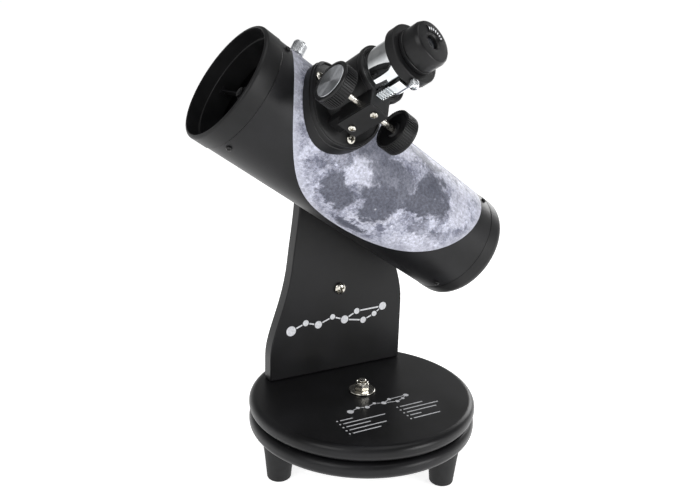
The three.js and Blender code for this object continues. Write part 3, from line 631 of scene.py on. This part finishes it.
carved(hexagon, "DIFFERENCE", lead_in)
carry(smooth(hexagon, 25), STAND)
fitted(hexagon, "base", NICKEL, "nickel_fastener", "azimuth_lock_nut")


# ---------------------------------------------------------------- arm
def bezier(start, first, second, end, steps=12):
    return [tuple((1 - t) ** 3 * a + 3 * (1 - t) ** 2 * t * b + 3 * (1 - t) * t * t * c + t ** 3 * d
                  for a, b, c, d in zip(start, first, second, end))
            for t in [i / steps for i in range(1, steps + 1)]]


front, rear = ARM_Y
arm_points = [
    (front, GAP), (rear, GAP), (rear, 65),
    *bezier((rear, 65), (rear, 105), (ARM_HEAD, 145), (ARM_HEAD, PIVOT_HEIGHT), 16),
    *arc((0, PIVOT_HEIGHT), ARM_HEAD, 0, 180, 40)[1:],
    *bezier((-ARM_HEAD, PIVOT_HEIGHT), (-ARM_HEAD, 170), (-48.5, 145), (-51, 120)),
    *bezier((-51, 120), (-56, 75), (front, 50), (front, 24)),
]
arm = plate("arm", arm_points, ARM_FACE - ARM_BACK)
carved(arm, "DIFFERENCE", carry(rod("pivot_bore", 4.6, -1, 20), moved(0, PIVOT_HEIGHT, 0)))
softened(arm, 1.3, 4, 50)
upright = placement(Y, Z, X, Vector((ARM_BACK, 0, TOP)) * MM)
carry(arm, STAND @ upright)
fitted(arm, "turntable", ARM_SHADED_LAMINATE, "laminated_board", "side_arm")

arm_bolt = pan_screw("arm_through_bolt", 6.0, 4.0, 2.1, 19.5)
bolt_middle = (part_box("arm_bolt")[0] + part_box("arm_bolt")[1]) / 2
bolt_place = Vector((AZIMUTH.x + (ARM_FACE + GAP) * MM, bolt_middle.y, bolt_middle.z))
carry(arm_bolt, Matrix.Translation(bolt_place) @ ALONG_X @ spun(20))
fitted(arm_bolt, "turntable", NICKEL, "nickel_fastener", "arm_bolt")

# The hand knob that clamps the tube's tilt: eight lobes, a hub and a stud
pivot_matrix = Matrix.Translation((AZIMUTH.x + (ARM_BACK - GAP) * MM, PIVOT.y, PIVOT.z)) @ ALONG_X
LOBES, LOBE_RADIUS, LOBE_RISE, LOBE_STEPS = 8, 19.5, 1.8, 160
lobes = []
for step in range(LOBE_STEPS):
    turn = 2 * math.pi * step / LOBE_STEPS
    reach = LOBE_RADIUS + LOBE_RISE * math.cos(LOBES * turn)
    lobes.append((reach * math.cos(turn), reach * math.sin(turn)))
clamp_knob = plate("clamp_knob", lobes, 12)
softened(clamp_knob, 2.2, 5, 60)
carry(clamp_knob, moved(0, 0, -19))
hub = turned("clamp_hub", [(0, -12), (13, -12), (12, -9), (11, -7.5), (11, -2.2), (10.5, -1.7), (0, -1.7)], 72)
cap = turned("clamp_cap", [(0, -18.5), (12.2, -18.5), (12.2, -19.2), (11.8, -19.35), (6, -18.9), (0, -18.7)], 72)
stud = threaded("clamp_stud", 4, -2, 20.5, 1.25)
clamp_knob = joined("altitude_clamp_knob", smooth(clamp_knob), smooth(hub), smooth(cap), smooth(stud))
carry(clamp_knob, pivot_matrix)
fitted(clamp_knob, "altitude_knob", PLASTIC, "moulded_black_plastic", "altitude_knob")
clamp_washer = turned("altitude_clamp_washer", [(4.5, -1.2), (11.6, -1.2), (12, -0.9), (12, -0.3), (11.6, 0),
                                                (4.5, 0)], 72)
placed(clamp_washer, pivot_matrix, "altitude_knob", NICKEL, "nickel_fastener", "altitude_washer")


# ---------------------------------------------------------------- tube
RING_END = 16.3
CAP_START = 274.3
TUBE_LENGTH = 293.9
BORE = 50.4
TUBE_SIDES = 192

shell = turned("steel_tube", [
    (BORE, station(RING_END + GAP)), (BORE, station(CAP_START - GAP)),
    (TUBE_RADIUS, station(CAP_START - GAP)), (TUBE_RADIUS, station(RING_END + GAP))], TUBE_SIDES)
carry(shell, TUBE)
carved(shell, "DIFFERENCE", carry(rod("focuser_hole", 22, 30, 60, 96), FOCUSER))
smooth(shell)
shell.data.materials.clear()
shell.data.materials.append(ENAMEL)
shell.data.materials.append(BORE_PAINT)


def faces_the_axis(face):
    """Whether a face of the tube looks inwards."""
    offset = face.calc_center_median() - TUBE.translation
    return face.normal.dot(offset - SKYWARD * offset.dot(SKYWARD)) < 0


edit(shell)
pick(shell, "FACE", faces_the_axis)
shell.active_material_index = 1
bpy.ops.object.material_slot_assign()
done()
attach(shell, "tube")
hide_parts("tube_shell")

ring = turned("mouth_ring", [
    (51.7, station(RING_END)), (52, station(RING_END - 0.4)), (52, station(3.2)),
    *arc((49.4, station(2.6)), 2.6, 0, 80, 10), (49.5, station(0)), (49.1, station(0.25)),
    (48.9, station(0.9)), (48.9, station(11.7)), (48.7, station(12)), (47.6, station(12)),
    (47.3, station(12.3)), (47.3, station(30)), (50.1, station(30)), (50.1, station(RING_END))], TUBE_SIDES)
placed(ring, TUBE, "tube", PLASTIC, "moulded_black_plastic", "front_ring")

cap_rounding = 9.4
cell = turned("rear_cap", [
    (0, station(TUBE_LENGTH)), (30, station(TUBE_LENGTH)), (30.6, station(TUBE_LENGTH - 0.6)),
    (32.4, station(TUBE_LENGTH - 0.6)), (33, station(TUBE_LENGTH)), (42, station(TUBE_LENGTH)),
    *arc((42.4, station(TUBE_LENGTH - cap_rounding)), cap_rounding, -88, 0, 14),
    (51.8, station(CAP_START + 0.6)), (51.4, station(CAP_START)),
    (50.1, station(CAP_START)), (50.1, station(258.5)), (48.4, station(258.5)), (48.4, station(284)),
    (43, station(290.5)), (41.2, station(290.5)), (41.2, station(262.8)), (38.5, station(262.8)),
    (38.5, station(272)), (34, station(272)), (34, station(290.5)), (0, station(290.5))], TUBE_SIDES)
placed(cell, TUBE, "tube", PLASTIC, "moulded_black_plastic", "rear_cell")

black_screw = pan_screw("black_screw", 2.5, 1.7, 1.4, 6.6)
for name, distance in (("vane_screw", 22), ("cell_screw", 267)):
    for number, angle in enumerate((28.5, 148.5, -91.5), 1):
        screw = copied(black_screw, f"{name}_head_{number}")
        carry(screw, radial(distance, angle) @ moved(0, 0, TUBE_RADIUS + GAP) @ spun(37 * number))
        fitted(screw, "tube", BLACK_STEEL, "blackened_steel", f"{name}_{number}")
put_away(black_screw)

saddle_low = (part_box("saddle")[0] - PIVOT).x / MM
saddle = block("tube_saddle", (saddle_low, -44), (-21, 21), (-34, 34))
softened(saddle, 2.5, 4, 50)
carved(saddle, "DIFFERENCE", rod("tube_room", TUBE_RADIUS + GAP, -40, 40, TUBE_SIDES),
       carry(rod("stud_room", 4.6, -70, -53, 48), ALONG_X))
placed(saddle, TUBE, "tube", PLASTIC, "moulded_black_plastic", "saddle")

# The primary mirror, its retaining ring, and the diagonal on its stalk
MIRROR_RADIUS, MIRROR_FRONT, MIRROR_BACK, MIRROR_SAG, BOWL_STEPS = 38.1, 263.4, 271.6, 1.2, 16
bowl = []
for step in range(1, BOWL_STEPS + 1):
    reach = 1 - step / BOWL_STEPS
    bowl.append((MIRROR_RADIUS * reach, station(MIRROR_FRONT + MIRROR_SAG * (1 - reach ** 2))))
primary = turned("primary_mirror_glass", [
    (0, station(MIRROR_BACK)), (MIRROR_RADIUS - 0.5, station(MIRROR_BACK)),
    (MIRROR_RADIUS, station(MIRROR_BACK - 0.5)), (MIRROR_RADIUS, station(MIRROR_FRONT) - 0.5),
    (MIRROR_RADIUS - 0.4, station(MIRROR_FRONT) - 0.05), *bowl], 128)
placed(primary, TUBE, "tube", MIRROR, "mirror_glass", "primary_mirror")

keeper = turned("mirror_keeper", [
    (37, station(262.3)), (37, station(261.3)), (37.4, station(261)), (40.8, station(261)),
    (41.2, station(261.4)), (41.2, station(262.5)), (37.3, station(262.5))], 128)
placed(keeper, TUBE, "tube", PLASTIC, "moulded_black_plastic", "mirror_ring")


def mitred(name, radius, low, high, near, far):
    """A round bar in the tube's frame, cut at 45 degrees to send light out through the focuser."""
    bar = carry(rod(name, radius, low, high, 96), TUBE)
    normal = (OUTWARD - SKYWARD).normalized()
    crossing = TUBE @ (Z * station(FOCUSER_STATION) * MM)
    edit(bar)
    for offset, outer in ((far, True), (near, False)):
        if offset is None:
            continue
        bpy.ops.mesh.select_all(action="SELECT")
        bpy.ops.mesh.bisect(plane_co=crossing + normal * offset * MM, plane_no=normal, use_fill=True,
                            clear_outer=outer, clear_inner=not outer)
    done()
    return bar


holder = mitred("diagonal_seat", 12, station(FOCUSER_STATION + 24), station(56), None, -2.3)
stalk = carry(rod("diagonal_stalk", 2.5, station(57), station(14.5), 48), TUBE)
locknut = carry(softened(rod("stalk_nut", 4.4, station(18) + 0.3, station(18) + 3, 6), 0.3, 2), TUBE)
holder = joined("diagonal_holder_turned", softened(holder, 0.5, 3, 50), stalk, locknut)
smooth(holder)
fitted(holder, "tube", PLASTIC, "moulded_black_plastic", "diagonal_holder")
diagonal = mitred("diagonal_glass", 12, station(FOCUSER_STATION + 24), station(50), -2, 0)
smooth(diagonal)
fitted(diagonal, "tube", MIRROR, "mirror_glass", "diagonal_mirror")

# Finder studs with their knurled nuts
for number, angle in enumerate((-11, -46), 1):
    stud = threaded(f"finder_stud_{number}_threaded", 2, 49.5, 66, 0.7)
    stud_head = turned("stud_head", [(0, 48.6), (3.6, 48.6), (4.5, 49.1), (4.5, 49.7), (0, 49.7)], 48)
    stud = joined(f"finder_stud_{number}_steel", smooth(stud), smooth(stud_head))
    carry(stud, radial(44, angle))
    fitted(stud, "tube", NICKEL, "nickel_fastener", f"finder_stud_{number}")
    nut = turned("finder_nut", [
        (2.3, 53.2), (4.6, 53.2), (4.9, 53.6), (4.9, 54.6), (5.6, 55), (5.95, 55.5), (5.95, 64.4),
        (5.4, 65.3), (5.2, 65.8), (2.9, 65.8), (2.3, 65.2)], 96)
    knurl = ribs("knurl", 5.6, 6.15, 0.42, 55.5, 64.4, 44)
    nut = joined(f"finder_nut_{number}_knurled", smooth(nut), knurl)
    carry(nut, radial(44, angle))
    fitted(nut, f"finder_nut_{number}", TUMBLED, "turned_aluminium", f"finder_nut_{number}")


# ---------------------------------------------------------------- the printed film
FILM_RADIUS = 116.5            # of the printed disc, measured on the film
FILM_STATION = 143.5
FILM_ROUND = 28.0              # its middle, measured round the tube from the top towards +X
FILM_HEIGHT = TUBE_RADIUS + 0.17
FILM_FLAT_FRONT, FILM_FLAT_REAR = 0.043, 0.018   # how far the edge is drawn in between its four ends


def wrapped_film():
    """A flat disc of film, its map taken while it is flat, wrapped round the tube."""
    rings, sides = 72, 300
    film = turned("printed_film", [(FILM_RADIUS * i / rings, 0) for i in range(rings + 1)], sides)
    mesh = film.data
    chart = fresh_map(mesh, "film")
    for loop in mesh.loops:
        place = mesh.vertices[loop.vertex_index].co / (FILM_RADIUS * MM)
        chart.data[loop.index].uv = (place.x, place.y)
    for vertex in mesh.vertices:
        slant = vertex.co.x * vertex.co.y / max(vertex.co.length_squared, 1e-12)
        vertex.co *= 1 - (FILM_FLAT_FRONT if slant < 0 else FILM_FLAT_REAR) * 4 * slant * slant
        along = FILM_STATION + vertex.co.x / MM
        angle = (FILM_ROUND + vertex.co.y / MM) / FILM_HEIGHT
        vertex.co = Vector((FILM_HEIGHT * math.sin(angle), FILM_HEIGHT * math.cos(angle), station(along))) * MM
    carry(film, TUBE)
    edit(film)
    bpy.ops.mesh.normals_make_consistent(inside=False)

    def under_focuser(face):
        offset = face.calc_center_median() - FOCUS_AXIS_POINT
        aside = offset - OUTWARD * offset.dot(OUTWARD)
        return offset.dot(OUTWARD) > 0 and aside.length < 30 * MM

    pick(film, "FACE", under_focuser)
    bpy.ops.mesh.delete(type="FACE")
    done()
    outwards = sum(p.normal.dot(p.center - TUBE.translation) for p in film.data.polygons)
    if outwards < 0:
        edit(film)
        bpy.ops.mesh.flip_normals()
        done()
    only(film)
    bpy.ops.object.modifier_add(type="SOLIDIFY")
    film.modifiers[-1].thickness = 0.15 * MM
    film.modifiers[-1].offset = -1
    bpy.ops.object.modifier_apply(modifier=film.modifiers[-1].name)
    return smooth(film)


film = wrapped_film()
fitted(film, "tube", MOON, "tube_enamel")


# ---------------------------------------------------------------- focuser
FLANGE_RADIUS = 37.3
FLANGE_X = -3
FLANGE_SEAT = 61
FLANGE_RIM = 62.2


def puck(name, radius, roll, side=144):
    """A disc of the flange whose outer face follows a radius about the tube's axis."""
    disc = rod(name, radius, 30, 75, side)
    carry(disc, moved(FLANGE_X, 0, 0))
    return carved(disc, "INTERSECT", carry(rod("roll", roll, -60, 60, 256), ALONG_X))


flange = puck("focuser_flange", FLANGE_RADIUS, 58.6)
carved(flange, "UNION", puck("upper_step", FLANGE_RADIUS - 0.7, FLANGE_SEAT + 0.5))
wall = puck("rim_wall", FLANGE_RADIUS - 1.5, FLANGE_RIM)
carved(flange, "UNION", wall)
well = rod("well", FLANGE_RADIUS - 3.0, 40, 80, 144)
carry(well, moved(FLANGE_X, 0, 0))
carved(well, "DIFFERENCE", carry(rod("floor_roll", FLANGE_SEAT, -60, 60, 256), ALONG_X))
carved(flange, "DIFFERENCE", well, carry(rod("tube_room", TUBE_RADIUS + GAP, -60, 60, 256), ALONG_X),
       rod("drawtube_room", 19.9, 20, 110, 144), block("rack_way", (-4.3, 4.3), (0, 26.1), (20, 110)))
edit(flange)
bpy.ops.mesh.remove_doubles(threshold=0.04 * MM)
done()
softened(flange, 0.35, 3, 50)
carry(flange, FOCUSER)
fitted(flange, "tube", PLASTIC, "moulded_black_plastic", "focuser_body")

barrel = turned("focuser_housing", [
    (0, 45), (22.6, 45), (22.6, 97.6), (22.3, 97.9), (22.3, 98.5), (22.6, 98.8), (23.3, 99.4),
    (23.6, 99.9), (23.6, 102.2), *arc((22.8, 102.4), 0.8, 0, 90, 5), (21.6, 103.2), (21.4, 102.7),
    (20.9, 102.7), (20.7, 103.2), (0, 103.2)], 144)
pinion_box = block("pinion_box", BOX_X, (5, BOX_FACE), (BOX_LOW, HOUSING_TOP))
rack_guard = block("rack_guard", (-7, 7), (5, 27.5), (45, BOX_LOW + 3))
carved(barrel, "UNION", softened(pinion_box, 0.7, 3, 50), softened(rack_guard, 0.7, 3, 50))
shaft_place = moved(0, SHAFT_Y, SHAFT_Z)
carved(barrel, "DIFFERENCE", rod("bore", 19.9, 20, 110, 144), block("rack_room", (-4.3, 4.3), (0, 26.1), (20, 110)),
       carry(rod("gear_room", 6.2, -5, 5, 48), shaft_place @ ALONG_X),
       carry(rod("shaft_bore", 2.8, -20, 20, 48), shaft_place @ ALONG_X))
placed(barrel, FOCUSER, "tube", PLASTIC, "moulded_black_plastic", "focuser_body")

cover = block("pinion_cover_plate", BOX_X, (BOX_FACE + GAP, BOX_FACE + 2.3), (BOX_LOW - 0.5, HOUSING_TOP))
carry(softened(cover, 0.35, 3), FOCUSER)
fitted(cover, "tube", PLASTIC, "moulded_black_plastic", "pinion_cover")

cover_screw = pan_screw("cover_screw", 3.1, 1.9, 1.3, 6)
for number, height in enumerate((98, 75), 1):
    screw = copied(cover_screw, f"cover_screw_head_{number}")
    lift = moved(sum(BOX_X) / 2, BOX_FACE + 2.6, height)
    carry(screw, FOCUSER @ lift @ ALONG_Y @ spun(25 + 40 * number))
    fitted(screw, "tube", NICKEL, "nickel_fastener", f"cover_screw_{number}")
FLANGE_SCREW_CIRCLE = 30.6
flange_screw = pan_screw("flange_screw", 3.8, 2.6, 1.8, 11.5)
for number, angle in enumerate((-3, 117, 237), 1):
    screw = copied(flange_screw, f"flange_screw_head_{number}")
    along = FLANGE_X + FLANGE_SCREW_CIRCLE * math.cos(math.radians(angle))
    aside = FLANGE_SCREW_CIRCLE * math.sin(math.radians(angle))
    lean = math.degrees(math.asin(aside / FLANGE_SEAT))
    seat = radial(FOCUSER_STATION - along, FOCUSER_ANGLE + lean) @ moved(0, 0, FLANGE_SEAT + GAP)
    carry(screw, seat @ spun(15 + 50 * number))
    fitted(screw, "tube", NICKEL, "nickel_fastener", f"focuser_screw_{number}")
put_away(cover_screw, flange_screw)

# The pinion on its shaft, with a ribbed knob and a spun inlay at each end
KNOB_RADIUS = 16.9
KNOB_OUTER = 38.7
shaft = turned("focus_shaft", [
    (0, -36.7), (2.5, -36.7), (2.5, -25.2), (2.1, -25.0), (2.1, -24.2), (2.5, -24.0), (2.5, -13.2),
    (2.2, -13), (2.2, -12.2), (2.5, -12), (2.5, 14.6), (2.1, 14.8), (2.1, 15.8), (2.5, 16),
    (2.5, 20.6), (2.2, 20.8), (2.2, 21.6), (2.5, 21.8), (2.5, 36.7), (0, 36.7)], 64)
TEETH = 13
MODULE = 0.7
gear_points = []
for tooth in range(TEETH):
    pitch_radius = MODULE * TEETH / 2
    root, tip = pitch_radius - 1.15 * MODULE, pitch_radius + 0.85 * MODULE
    flank = [(root, -0.3), (pitch_radius, -0.19), (tip, -0.09), (tip, 0.09), (pitch_radius, 0.19), (root, 0.3)]
    for radius, offset in flank:
        turn = -math.pi / 2 + (tooth + offset) * 2 * math.pi / TEETH
        gear_points.append((radius * math.cos(turn), radius * math.sin(turn)))
gear = plate("pinion", gear_points, 8)
# The gear's own Y is the focuser's Y, so that a tooth stands in the rack's gap.
carry(gear, placement(Z, Y, -X, X * 4 * MM))
shaft = joined("focus_pinion_shaft", carry(smooth(shaft), ALONG_X), smooth(gear))
carry(shaft, FOCUSER @ shaft_place)
fitted(shaft, "focus_knobs", STEEL, "bright_steel", "pinion_shaft")


def focus_knob(name):
    body = turned(name, [
        (2.8, 27.2), (5.6, 27.2), (6, 27.6), (6.5, 28.8), (14, 28.2), (14.6, 27.6), (15.2, 26.5),
        (15.5, 26.2), (15.8, 26.2), (16.0, 26.5), (16.0, 35.9), (16.6, 36.3), (16.7, 37.0),
        *arc((15.7, 37.6), 1.1, -10, 90, 7),
        (14.4, KNOB_OUTER), (13.9, KNOB_OUTER - 0.5), (13.9, 37.0), (2.8, 37.0)], 168)
    grip = ribs("grip", 15.7, KNOB_RADIUS, 1.0, 26.6, 36.2, 52)
    return joined(name, smooth(body), grip)


def turning_map(piece, span_mm):
    """Maps a turned disc for its lathe marks: once round along U, out from the middle along V."""
    mesh = piece.data
    layer = fresh_map(mesh, "turning")
    for face in mesh.polygons:
        middle = math.atan2(face.center.y, face.center.x)
        for index in face.loop_indices:
            place = mesh.vertices[mesh.loops[index].vertex_index].co / MM
            reach = math.hypot(place.x, place.y)
            turn = math.atan2(place.y, place.x) if reach > 0.01 else middle
            turn += 2 * math.pi * round((middle - turn) / (2 * math.pi))
            layer.data[index].uv = (turn / (2 * math.pi), reach / span_mm)


for end, facing in (("front", ALONG_X), ("rear", ALONG_X.inverted())):
    knob = focus_knob(f"ribbed_knob_{end}")
    carry(knob, FOCUSER @ shaft_place @ facing)
    fitted(knob, "focus_knobs", KNOB_PLASTIC, "moulded_black_plastic", f"focus_knob_{end}")
    inlay = turned(f"spun_inlay_{end}", [
        (0, 37.3), (13.6, 37.3), (13.6, 38.05), (13.3, 38.4), (12.9, 38.4), (0, 38.0)], 168)
    turning_map(inlay, 13.6)
    carry(smooth(inlay, 25), FOCUSER @ shaft_place @ facing)
    fitted(inlay, "focus_knobs", SPUN, "turned_aluminium", f"knob_inlay_{end}")

# Drawtube, collar and its thumb screw
drawtube = turned("chromed_drawtube", [
    (16.2, 58.4), (16.6, 58), (19.2, 58), (19.6, 58.4), (19.6, 131), (16.2, 131)], 192)
placed(drawtube, FOCUSER, "drawtube", CHROME, "chrome_plate", "drawtube")

collar_low, collar_high = COLLAR
collar = turned("eyepiece_collar_ring", [
    (19.9, collar_low + 0.3), (20.2, collar_low), (22.6, collar_low), *arc((22.5, collar_low + 1.1), 1.1, -80, 0, 6),
    *arc((22.5, collar_high - 1.1), 1.1, 0, 85, 6), (22, collar_high), (16.6, collar_high),
    (16.2, collar_high - 0.4), (16.2, 131.3), (19.9, 131.3)], 192)
SCREW_HEIGHT = 133.2
screw_turn = moved(0, 0, SCREW_HEIGHT) @ spun(9) @ ALONG_Y
carved(collar, "DIFFERENCE", carry(rod("screw_bore", 1.7, 10, 30, 32), screw_turn))
placed(collar, FOCUSER, "drawtube", PLASTIC, "moulded_black_plastic", "eyepiece_collar")

thumb = turned("thumb_screw", [
    (0, 16.3), (1.4, 16.3), (1.4, 24.1), (2.9, 24.1), (3.3, 24.5), (3.3, 28.8), *arc((2.6, 29.3), 0.75, 0, 70, 5),
    (2.0, 30.3), (0, 30.4)], 96)
for x, y in ((0.5, 2.0), (2.0, 0.5)):
    carved(thumb, "DIFFERENCE", block("cross", (-x, x), (-y, y), (29.2, 31)))
thumb_grip = ribs("thumb_grip", 3.1, 3.55, 0.35, 24.7, 28.7, 32)
thumb = joined("eyepiece_thumb_screw", smooth(thumb), thumb_grip)
carry(thumb, FOCUSER @ screw_turn)
fitted(thumb, "eyepiece_screw", CHROME, "chrome_plate", "eyepiece_screw")

# Eyepiece: body, printed arc, chromed barrel and eye lens
eyepiece = turned("eyepiece_housing", [
    (16.2, 135.6), (17.5, 135.6), (17.8, 135.9), (17.8, 138.1), (17.5, 138.4), (17.0, 138.5), (17.0, 138.9),
    (17.4, 139.1), (17.6, 139.5), (17.6, 149.0), (17.4, 149.7), (16.6, 151.9), (16.1, 152.6),
    (15.2, EYEPIECE_TOP), (6.9, EYEPIECE_TOP), (6.6, 152.8), (6.3, 152.3),
    (5.6, 152), (5.3, 151.6), (5.3, 146), (13, 145), (13, 141), (16.2, 141)], 168)
placed(eyepiece, FOCUSER, "eyepiece", EYEPIECE_BLACK, "moulded_black_plastic", "eyepiece_body")

chrome_barrel = turned("chromed_eyepiece_barrel", [
    (14.3, 108.4), (14.7, 108), (15.4, 108), (15.875, 108.5), (15.875, 117), (15.2, 117.4), (15.2, 121),
    (15.875, 121.4), (15.875, 140.7), (14.3, 140.7)], 144)
placed(chrome_barrel, FOCUSER, "eyepiece", CHROME, "chrome_plate", "eyepiece_barrel")

lens = turned("eye_lens_glass", [(0, 146.8), (5, 146.8), (5, 149.4),
                                 *[(5 * math.cos(math.radians(a)), 149.4 + 1.3 * math.sin(math.radians(a)))
                                   for a in range(8, 90, 9)], (0, 150.7)], 96)
placed(lens, FOCUSER, "eyepiece", LENS, "lens_glass", "eye_lens")


# ---------------------------------------------------------------- printed marks
LINE_WIDTH, LINE_STOP = 1.5, 0.9
ROW_STEP, ROW_START, ROW_WIDTH = 6.05, 45, 1.25


def marks(name, dots, bars, thickness=0.06):
    """Printed dots (x, y, radius) and bars (from, to, width) in mm, as one skin of ink on z = 0."""
    pieces = []
    for x, y, radius in dots:
        dot = rod("dot", radius, 0.01, thickness, 32)
        pieces.append(carry(dot, moved(x, y, 0)))
    for (x0, y0), (x1, y1), width in bars:
        length = math.hypot(x1 - x0, y1 - y0)
        bar = block("bar", (0, length), (-width / 2, width / 2), (0.01, thickness))
        turn = spun(math.degrees(math.atan2(y1 - y0, x1 - x0)))
        pieces.append(carry(bar, moved(x0, y0, 0) @ turn))
    return smooth(joined(name, *pieces))


def constellation(stars, links, scale, at):
    """A made-up star pattern: dots joined by thin lines that stop short of them."""
    places = [(at[0] + scale * x, at[1] + scale * y, scale * size) for x, y, size in stars]
    bars = []
    for a, b in links:
        (ax, ay, ar), (bx, by, br) = places[a], places[b]
        length = math.hypot(bx - ax, by - ay)
        ux, uy = (bx - ax) / length, (by - ay) / length
        start = (ax + ux * (ar + LINE_STOP * scale), ay + uy * (ar + LINE_STOP * scale))
        end = (bx - ux * (br + LINE_STOP * scale), by - uy * (br + LINE_STOP * scale))
        bars.append((start, end, LINE_WIDTH * scale))
    return places, bars


STARS = [(-52, -3, 5.2), (-36, 3, 3.2), (-22, -1, 4.0), (-6, 5, 2.9), (8, 0, 4.3), (22, 7, 3.2), (30, -4, 3.4),
         (43, 1, 2.9), (53, 8, 4.3)]
LINKS = [(0, 1), (1, 2), (2, 3), (3, 4), (4, 5), (4, 6), (6, 7), (7, 8), (5, 8)]

stars, lines = constellation(STARS, LINKS, 1.0, (0, 54))
arm_print = marks("arm_star_print", stars, lines)
face = placement(Y, Z, X, Vector((ARM_FACE, 0, TOP)) * MM)
carry(arm_print, STAND @ face)
fitted(arm_print, "turntable", INK, "laminated_board")

stars, lines = constellation(STARS, LINKS, 0.62, (1, -32))
for column, lengths in ((-52, (17, 48, 29, 42, 33)), (12, (29, 43, 37, 16, 33))):
    for row, length in enumerate(lengths):
        across_board = -(ROW_START + ROW_STEP * row)
        stars.append((column + 0.9, across_board, 0.9))
        lines.append(((column + 4, across_board), (column + length, across_board), ROW_WIDTH))
board_print = marks("turntable_star_print", stars, lines)
# On the board the rows run along +Y and follow each other towards +X.
face = placement(Y, -X, Z, Z * TOP * MM)
carry(board_print, STAND @ face)
fitted(board_print, "turntable", INK, "laminated_board")

PANEL_INNER, PANEL_OUTER, PANEL_START, PANEL_END, PANEL_HEIGHT = 7.4, 12.7, 220, 316, 0.5
TICKS, TICK_START, TICK_STEP, TICK_INNER, TICK_OUTER, TICK_WIDTH = 7, 229, 13, 9.0, 11.0, 1.1
panel = plate("eyepiece_arc_panel", [*arc((0, 0), PANEL_OUTER, PANEL_START, PANEL_END, 24),
                                     *arc((0, 0), PANEL_INNER, PANEL_END, PANEL_START, 24)], PANEL_HEIGHT)
carry(softened(panel, 0.15, 2), FOCUSER @ moved(0, 0, EYEPIECE_TOP + 0.05))
fitted(panel, "eyepiece", EYEPIECE_BLACK, "moulded_black_plastic")
ticks = []
for index in range(TICKS):
    turn = math.radians(TICK_START + TICK_STEP * index)
    way = Vector((math.cos(turn), math.sin(turn)))
    ticks.append((way * TICK_INNER, way * TICK_OUTER, TICK_WIDTH))
eyepiece_print = marks("eyepiece_print", [], ticks)
carry(eyepiece_print, FOCUSER @ moved(0, 0, EYEPIECE_TOP + PANEL_HEIGHT + 0.06))
fitted(eyepiece_print, "eyepiece", INK, "moulded_black_plastic")


# ---------------------------------------------------------------- finishes for the pieces kept as they are
for node, material in (("glide_ring", NYLON), ("altitude_pad", NYLON), ("rack", CHROME), ("spider", BORE_PAINT),
                       ("arm_bolt_nut", NICKEL), ("arm_screw_1", NICKEL), ("arm_screw_2", NICKEL),
                       ("foot_screw_1", NICKEL), ("foot_screw_2", NICKEL), ("foot_screw_3", NICKEL),
                       ("saddle_screw_1", NICKEL), ("saddle_screw_2", NICKEL)):
    for material_slot in frame["nodes"][node].material_slots:
        material_slot.material = material


# ---------------------------------------------------------------- floor, lights and camera
def pale_floor():
    bpy.ops.object.select_all(action="DESELECT")
    bpy.ops.mesh.primitive_plane_add(size=12)
    floor = named("studio_floor")
    # Pale matte paper, faintly glowing as under a wide even light.
    paper = skinned("pale_paper", "f4f4f4", "fbfbfb", 0.9, 3, 40, 0.01,
                    {"Emission Color": (1, 1, 1, 1), "Emission Strength": 0.78})
    floor.data.materials.append(paper)


def softbox(name, place, aim, width, height, watts):
    """A large plain area light, in metres and watts."""
    light = bpy.data.lights.new(name, "AREA")
    light.shape = "RECTANGLE"
    light.size, light.size_y = width, height
    light.energy = watts
    lamp = bpy.data.objects.new(name, light)
    lamp.location = place
    lamp.rotation_euler = (Vector(aim) - Vector(place)).to_track_quat("-Z", "Y").to_euler()
    bpy.context.scene.collection.objects.link(lamp)


def studio_air(horizon, ceiling):
    """White all round near the horizon, dimmer overhead."""
    world = bpy.data.worlds.new("studio_air")
    world.use_nodes = True
    tree = world.node_tree
    way = add(tree, "ShaderNodeTexCoord", out="Generated")
    rise = add(tree, "ShaderNodeSeparateXYZ", {0: way}, "Z")
    level = add(tree, "ShaderNodeMapRange", {0: rise, 1: 0.07, 2: 0.4, 3: horizon, 4: ceiling})
    feed(tree, tree.nodes["Background"], {"Color": (1, 1, 1, 1), "Strength": level})
    bpy.context.scene.world = world


pale_floor()
studio_air(1.02, 0.22)
softbox("left_box", (0.9, -1.6, 1.5), (0, 0, 0.25), 1.2, 1.2, 15)
softbox("top_box", (0.3, 0.2, 2.0), (0, 0, 0.2), 1.5, 1.5, 10)
softbox("right_box", (1.95, 1.05, 0.62), (0, 0, 0.25), 0.8, 0.9, 20)
softbox("rear_box", (-0.65, 1.4, 0.65), (0, 0, 0.1), 0.7, 0.7, 7)
bpy.context.scene.view_settings.view_transform = "Standard"

CAMERA_AIM = STAND @ Vector((-0.0413, 0.0048, 0.2020))
CAMERA_AZIMUTH, CAMERA_ELEVATION, CAMERA_ROLL = 60.91, 16.25, 1.76
CAMERA_DISTANCE = 765.18
turn = spun(CAMERA_AZIMUTH) @ Matrix.Rotation(math.radians(90 - CAMERA_ELEVATION), 4, "X") @ spun(CAMERA_ROLL)
lens_data = bpy.data.cameras.new("camera")
lens_data.sensor_width = 36
lens_data.sensor_fit = "HORIZONTAL"
lens_data.lens = 40.04
camera = bpy.data.objects.new("camera", lens_data)
camera.matrix_world = Matrix.Translation(CAMERA_AIM) @ turn @ moved(0, 0, CAMERA_DISTANCE)
bpy.context.scene.collection.objects.link(camera)
bpy.context.scene.camera = camera
